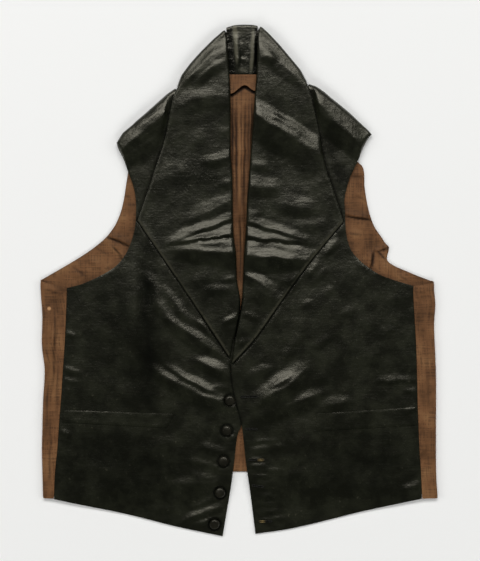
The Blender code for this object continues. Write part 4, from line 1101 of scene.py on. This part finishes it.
def makeCollar(side):
    away, fold = outward[side], collarFold[side]
    start, _, out, length = foldWay(fold)
    radius, roll = laying["collarFold"], laying["roll"]
    tipY = lapelTip[side]

    def lay(x, y):
        edge = rollX(side, y)
        place, under = bent((edge - x) * away, roll)
        x = edge - away * place
        past, _, _ = pastFold(fold, x, y)
        swell = bell(np.maximum(0, -place - roll), collar["swell"])
        swell = swell * readRow(collar["rise"], y) * smooth((-past - radius) / collar["swellRun"])
        top = laying["lapelTop"] + lift(y) + chest(x, y) + swell
        drop = roll * (1 - np.cos(under))
        bendPlace, turn = bent(past, radius)
        shift = bendPlace - past - drop * np.sin(turn)
        top = np.where(turn > 0, 2 * radius + (top - 2 * radius) * smooth(1 - turn), top)
        height = top - radius * (1 - np.cos(turn)) - drop * np.cos(turn)
        return x + out[0] * shift, y + out[1] * shift, height

    def turnedUnder(points):
        past, _, _ = pastFold(fold, points[:, 0], points[:, 1])
        return points + out * ((math.pi - 2) * radius - 2 * past)[:, None]

    def foldRow(t, turn):
        return foldPoint(fold, radius, t, turn)

    y = np.concatenate([np.arange(start[1] - 7, 268, -2.5), np.arange(266, tipY + 72, -3),
                        np.arange(tipY + 70, tipY + 2, -2.5)])
    inner = np.stack([rollX(side, y) - away * (rollReach(side, y) - roll), y], 1)
    tip = [(rollX(side, tipY + 3) + away * 1.2, tipY + 2.2)]
    upper, lower = lapelEdge[side]
    edge = np.vstack([curve(upper, 2.2), curve(lower, 3)])[::-1]
    centre = laying["centreBackX"] + 0.3 * away
    centreY = np.linspace(245, laying["fallTopY"], 24)
    topX = np.linspace(centre, start[0] + away * -4.5, 10)[1:]
    topY = laying["fallTopY"] - 0.12 * np.abs(topX - centre)
    outline = closeOutline(
        inner, tip, edge, [foldRow(length, math.pi * i / 16) for i in range(6, 17)],
        turnedUnder(curve(collar["fall"][side], 4)),
        turnedUnder(np.stack([np.full(24, centre), centreY], 1)),
        turnedUnder(np.stack([topX, topY], 1)),
        [foldRow(0.3, math.pi * i / 16) for i in range(14, 1, -1)])

    def relief(x, y, inward):
        past, _, _ = pastFold(fold, x, y)
        inside = (x - rollX(side, y)) * away
        clear = rise(-past, collar["calmFold"]) * rise(inside, collar["calmRoll"])
        edgeRoll = collar["edgeRoll"] * bell(inward, collar["rollForm"])
        raised = creases(collar["creases"][side], x, y) + waves(collar["waves"], x, y)
        return raised * clear * smooth(inward / collar["calmEdge"]) + edgeRoll

    stations = np.concatenate([np.linspace(3, length - 4, 32), length + np.array([-1, 2, 5, 8])])
    lowerEdge = curve(lower, 3)

    def tone(x, y):   # painted shade at the rolled edge near the tip, a painted highlight along the lower edge
        paintedShade = collar["rollTone"] * bell(x - rollX(side, y), collar["rollLine"])
        paintedShade *= rise(y, collar["rollToneOver"])
        paintedShade += creases(collar["paintedShade"][side], x, y, collar["toneWander"])
        beside = fromLine(lowerEdge, np.stack([x, y], 1))
        return paintedShade - collar["edgeHighlight"] * bell(beside, collar["wearAndHighlight"])

    rows = [np.array([foldRow(t, math.pi * i / 12) for t in stations]) for i in range(13)]
    heights = np.arange(start[1] - 10, tipY + 6, -2.6)
    for i in range(11):
        across = roll * (math.pi * i / 10 - 1)
        rows.append(np.stack([rollX(side, heights) - away * across, heights], 1))
    makeCloth(f"collar_{side}_cloth", f"collar_{side}", collar, outline, lay, relief, collarSatin,
              rows=rows, tone=tone)


# The collar's stand: its inner face shows in the neck, drawn into upright wrinkles.
stand = {
    "wall": 1.6, "spacing": 1.6, "edge": 0.3, "reach": 8.0, "narrow": (312.0, -25.0), "inset": 0.6,
    "waves": [(8, 0.25, 2.2)], "wander": 0.8, "calmEdge": 2.0, "calmTop": (322.0, -6.0),
    # painted shade at its sides, and lighter painted shade all over
    "sideTone": 1.1, "sideFrom": 1.0, "side": (0, 5.0), "ground": 0.45,
    "topEdge": [(-16.2, 320.8), (-6, 323.8), (5, 324.5), (17, 324.3), (25, 322.6)],
    "creases": [
        (-4, 318, -2, 262, 1, 2.2, 4.5, 5), (19, 320, 18, 264, 0, 2.0, 3.5, 5),
        (3, 306, 4, 284, 0, 0.7, 3, 3),
        (11, 316, 12, 270, 1, 0.7, 2.4, 2.4), (-6, 283, 12, 282, -3, 0.5, 2.6, 3.4),
        (-13, 306, -12, 266, 0, 0.6, 3, 2),
    ],
    # painted highlights down its upright ridges, written as creases are
    "paintedHighlight": [
        (-8, 344, -3, 262, 1, 2.1, 3.6, 3.0), (19, 338, 15, 246, 0, 2.3, 3.0, 3.4),
        (-10, 314, 18, 316, 0, 0.6, 9, 9),
        (-4, 268, 15, 266, 0, 0.8, 4, 4),
    ],
}


def makeStand():
    radius = laying["standFold"]
    reach = (math.pi - 2) * radius - laying["standEndY"]

    def margin(y):
        return stand["reach"] * rise(y, stand["narrow"]) - stand["inset"]

    def topY(x):
        return readRow(stand["topEdge"], x)

    y = np.linspace(laying["standBaseY"], 319, 28)
    left = np.stack([rollX("left", y) - margin(y), y], 1)
    right = np.stack([rollX("right", y) + margin(y), y], 1)
    x = np.linspace(left[-1, 0], right[-1, 0], 22)
    far = np.stack([x, 2 * topY(x) + reach], 1)
    base = np.stack([np.linspace(left[0, 0], right[0, 0], 24), np.full(24, laying["standBaseY"])], 1)
    outline = closeOutline(base, right, lines([right[-1], far[-1]], 1.2), far[::-1],
                           lines([far[0], left[-1]], 1.2), left[::-1])

    def lay(x, y):
        place, turn = bent(y - topY(x), radius)
        return x, topY(x) + place, radius * (1 + np.cos(turn))

    def relief(x, y, inward):
        raised = creases(stand["creases"], x, y, stand["wander"]) + waves(stand["waves"], x, y)
        return raised * smooth(inward / stand["calmEdge"]) * rise(y, stand["calmTop"])

    # Painted shade beside the rolled edges and over all of it, painted highlights on its ridges.
    def tone(x, y):
        besides = np.minimum(x - rollX("left", y), rollX("right", y) - x)
        paintedShade = stand["sideTone"] * bell(np.maximum(besides - stand["sideFrom"], 0), stand["side"])
        return paintedShade + stand["ground"] - creases(stand["paintedHighlight"], x, y, stand["wander"])

    rows = [np.stack([x[1:-1], topY(x[1:-1]) + radius * (math.pi * i / 9 - 1)], 1) for i in range(10)]
    makeCloth("collar_stand_cloth", "collar_stand", stand, outline, lay, relief, collarSatin,
              rows=rows, tone=tone)


# A narrow welt on each front: its edges are turned in and stitched down.
welt = {
    "wall": 0.7, "spacing": 2.2, "edge": 0.25, "edgeRoll": 0.14, "rollForm": (2.2, 1.2),
    "gap": 0.3, "waves": [(11, 0.15, 5.1)], "calmEdge": 3.0,
    "corners": {
        "left": [(-221.5, -164), (-82, -169), (-91.5, -186.5), (-223.5, -179.5)],
        "right": [(223, -160.5), (98, -168.5), (98, -190.5), (223.5, -183.5)],
    },
}


def makeWelt(side):
    outline = closeOutline(lines([*welt["corners"][side], welt["corners"][side][0]], 2.4))

    def lay(x, y):
        return x, y, frontTop(side, x, y) + welt["gap"] + welt["wall"]

    def relief(x, y, inward):
        roll = welt["edgeRoll"] * bell(inward, welt["rollForm"])
        return waves(welt["waves"], x, y) * smooth(inward / welt["calmEdge"]) + roll

    makeCloth(f"pocket_welt_{side}_cloth", f"pocket_welt_{side}", welt, outline, lay, relief, frontSatin)


addPuckers()
makeBack()
makeLining()
makeNeckFacing()
makeStand()
for side in ("left", "right"):
    makeFront(side)
    makeCollar(side)
    makeWelt(side)
print("cloth laid")


# A covered button: its profile is spun, and the satin is gathered in below the rim.
def makeButtons():
    bpy.ops.object.select_all(action="DESELECT")
    mesh = bpy.data.meshes.new("covered_button_model")
    profile = [(radius * mm, 0, height * mm) for radius, height in button["profile"]]
    mesh.from_pydata(profile, [(i, i + 1) for i in range(len(profile) - 1)], [])
    model = bpy.data.objects.new("covered_button_model", mesh)
    bpy.context.scene.collection.objects.link(model)
    bpy.context.view_layer.objects.active = model
    model.select_set(True)
    bpy.ops.object.mode_set(mode="EDIT")
    bpy.ops.mesh.select_all(action="SELECT")
    bpy.ops.mesh.spin(steps=button["steps"], angle=2 * math.pi, center=(0, 0, 0), axis=(0, 0, 1))
    bpy.ops.mesh.select_all(action="SELECT")
    bpy.ops.mesh.remove_doubles(threshold=0.02 * mm)
    bpy.ops.mesh.normals_make_consistent(inside=False)
    bpy.ops.object.mode_set(mode="OBJECT")
    for vertex in mesh.vertices:
        x, y, z = vertex.co
        apart = math.hypot(x, y)
        if apart > button["gatherFrom"] * mm and z < button["gatherBelow"] * mm:
            turn = math.atan2(y, x)
            fold = button["gatherDepth"] * mm * math.sin(button["gathers"] * turn + math.sin(3 * turn))
            vertex.co = (x * (1 + fold / apart), y * (1 + fold / apart), z)
    smoothing = model.modifiers.new("round", "SUBSURF")
    smoothing.levels = 1
    smoothing.render_levels = 1
    bpy.ops.object.modifier_apply(modifier=smoothing.name)
    bpy.ops.object.shade_smooth()
    pattern = mesh.uv_layers.get("pattern") or mesh.uv_layers.new(name="pattern")
    for loop in mesh.loops:
        pattern.data[loop.index].uv = mesh.vertices[loop.vertex_index].co.xy
    mesh.materials.append(buttonSatin)
    for number, ((x, y), (tiltX, tiltY)) in enumerate(zip(button["places"], button["tilts"]), 1):
        a = np.linspace(0, 2 * math.pi, 12)
        seat = x + button["seat"] * np.cos(a), y + button["seat"] * np.sin(a)
        height = frontTop("left", *seat).max() + button["seatGap"]
        made = mesh.copy()
        made.name = f"covered_button_{number}"
        turned = Euler((math.radians(tiltX), math.radians(tiltY), 1.3 * number)).to_matrix().to_4x4()
        made.transform(Matrix.Translation(Vector((x, y, height)) * mm) @ turned)
        addPiece(made, f"button_{number}")
    bpy.data.objects.remove(model)


# A tube of thread round a path, with a ring of points at each of the path's points.
def threadTube(path, outsides, radius, sides):
    along = np.gradient(path, axis=0)
    along /= np.linalg.norm(along, axis=1)[:, None]
    outsides = outsides - (outsides * along).sum(1)[:, None] * along
    outsides /= np.linalg.norm(outsides, axis=1)[:, None]
    across = np.cross(along, outsides)
    rings = []
    for i in range(sides):
        a = 2 * math.pi * i / sides
        rings.append(path + radius * (math.cos(a) * outsides + math.sin(a) * across))
    points = np.stack(rings, 1).reshape(-1, 3)
    faces = []
    for i in range(len(path) - 1):
        for j in range(sides):
            k = (j + 1) % sides
            faces.append((i * sides + j, i * sides + k, (i + 1) * sides + k, (i + 1) * sides + j))
    faces.append(tuple(range(sides))[::-1])
    faces.append(tuple((len(path) - 1) * sides + j for j in range(sides)))
    return points, faces


# A worked buttonhole: thread wound over a bead round the cut edge.
def makeButtonhole(number, row):
    leftX, rightX, middleY, turn, wornX, wornHalf, wornShare = row
    straight, gap = rightX - leftX, buttonhole["halfGap"] + buttonhole["bead"]
    around = 2 * straight + 2 * math.pi * gap
    count = int(around / buttonhole["pitch"]) * buttonhole["perTurn"]
    s = np.linspace(0, around, count)
    half = straight / 2
    angle = np.clip((s - straight) / gap, 0, math.pi)
    angleBack = np.clip((s - 2 * straight - math.pi * gap) / gap, 0, math.pi)
    x = np.where(s < straight, s - half, half + gap * np.sin(angle))
    y = np.where(s < straight, -gap, -gap * np.cos(angle))
    lastHalf = s > straight + math.pi * gap
    back = half - np.minimum(s - straight - math.pi * gap, straight) - gap * np.sin(angleBack)
    x = np.where(lastHalf, back, x)
    y = np.where(lastHalf, gap * np.cos(angleBack), y)
    away = np.stack([np.where(np.abs(x) > half, (np.abs(x) - half) * np.sign(x), 0), y], 1) / gap
    c, sn = math.cos(math.radians(turn)), math.sin(math.radians(turn))
    turning = np.array([[c, sn], [-sn, c]])
    middle = np.array([(leftX + rightX) / 2, middleY])
    ground = np.stack([x, y], 1) @ turning + middle
    away = away @ turning
    wind = 2 * math.pi * s / buttonhole["pitch"]
    height = frontTop("right", *ground.T) + buttonhole["clear"] + buttonhole["bead"] * buttonhole["sunk"]
    outside = np.column_stack([away * np.cos(wind)[:, None], buttonhole["flatness"] * np.sin(wind)])
    path = np.column_stack([ground, height]) + buttonhole["bead"] * outside
    points, faces = threadTube(path, outside + [0, 0, 0.01], buttonhole["thread"], buttonhole["sides"])
    # The slit's shade, painted on a thin closed slip on the satin.
    count = buttonhole["slipStations"]
    stations = np.linspace(-half - buttonhole["slipEnds"], half + buttonhole["slipEnds"], count)
    slip, edge = [], gap * buttonhole["slipWidth"]
    top, bottom = buttonhole["slipTop"], buttonhole["slipBottom"]
    for by, up in ((-edge, top), (edge, top), (edge, bottom), (-edge, bottom)):
        line = np.column_stack([stations, np.full(count, by)]) @ turning + middle
        slip.append(np.column_stack([line, frontTop("right", *line.T) + up]))
    slip = np.stack(slip, 1).reshape(-1, 3)
    first = len(points)
    cutFaces = [(first + 3, first + 2, first + 1, first)]
    for i in range(count - 1):
        ring = first + 4 * i
        for j in range(4):
            k = (j + 1) % 4
            cutFaces.append((ring + j, ring + k, ring + 4 + k, ring + 4 + j))
    cutFaces.append(tuple(first + 4 * (count - 1) + j for j in range(4)))
    mesh = bpy.data.meshes.new(f"buttonhole_{number}")
    mesh.from_pydata((np.vstack([points, slip]) * mm).tolist(), [], faces + cutFaces)
    worn = np.clip(1 - np.abs(points[:, 0] - wornX) / wornHalf, 0, 1) * wornShare
    layer = mesh.attributes.new("worn", "FLOAT", "POINT")
    layer.data.foreach_set("value", np.concatenate([worn, np.zeros(len(slip))]).astype(np.float32))
    mesh.shade_smooth()
    mesh.materials.append(silkThread)
    mesh.materials.append(cutShade)
    for polygon in mesh.polygons[len(faces):]:
        polygon.material_index = 1
    addPiece(mesh)


slitShade = {"colour": "#060605", "roughness": 0.9, "gloss": 0.1}   # painted shade inside a buttonhole's slit
cutShade = makeMatt("shaded_cut_edge", slitShade)

makeButtons()
for number, row in enumerate(buttonhole["rows"], 1):
    makeButtonhole(number, row)
print("buttons and buttonholes made")

# The pale surface it lies on, soft light from above the neck, and the camera straight above.
view = {"height": 2.0, "centre": (1.27, 0.0), "frameHeight": 0.7125, "sensor": 36.0}
surround = {"colour": "#f6f7f8", "strength": 0.05}
surface = {"size": 8.0, "below": 0.0002, "colour": "#f5f5f3", "roughness": 0.9, "gloss": 0.1}
lamps = [   # name, place in metres, width, height, watts, whether it shows in the satin's gloss
    ("neck_side_softbox", (-0.12, 1.97, 2.38), 3.7, 1.1, 75.0, True),
    ("left_fill", (-2.3, -0.2, 1.3), 1.6, 1.0, 20.0, False),
    ("right_fill", (2.3, -0.2, 1.3), 1.6, 1.0, 18.0, False),
    ("hem_side_fill", (0.2, -2.4, 1.4), 1.8, 1.0, 27.0, False),
]


def makeSurface():
    bpy.ops.object.select_all(action="DESELECT")
    bpy.ops.mesh.primitive_plane_add(size=surface["size"], location=(0, 0, -surface["below"]))
    floor = bpy.context.object
    floor.name = "pale_surface"
    bpy.ops.object.transform_apply(location=True, rotation=True, scale=True)
    floor.data.materials.append(makeMatt("matt_white_paper", surface))


def makeLight():
    for name, place, width, height, watts, inGloss in lamps:
        light = bpy.data.lights.new(name, "AREA")
        light.shape = "RECTANGLE"
        light.size = width
        light.size_y = height
        light.energy = watts
        lamp = bpy.data.objects.new(name, light)
        lamp.location = place
        lamp.rotation_euler = Vector(place).to_track_quat("Z", "Y").to_euler()
        lamp.visible_glossy = inGloss
        bpy.context.scene.collection.objects.link(lamp)
    studio = bpy.data.worlds.new("studio")
    studio.use_nodes = True
    studio.node_tree.nodes["Background"].inputs["Color"].default_value = fromHex(surround["colour"])
    studio.node_tree.nodes["Background"].inputs["Strength"].default_value = surround["strength"]
    bpy.context.scene.world = studio
    bpy.context.scene.view_settings.view_transform = "Standard"


def makeCamera():
    camera = bpy.data.objects.new("camera", bpy.data.cameras.new("camera"))
    camera.location = (view["centre"][0] * mm, view["centre"][1] * mm, view["height"])
    camera.data.sensor_width = view["sensor"]
    camera.data.lens = view["sensor"] * view["height"] / view["frameHeight"]
    bpy.context.scene.collection.objects.link(camera)
    bpy.context.scene.camera = camera


makeSurface()
makeLight()
makeCamera()
print("surface, light and camera set")
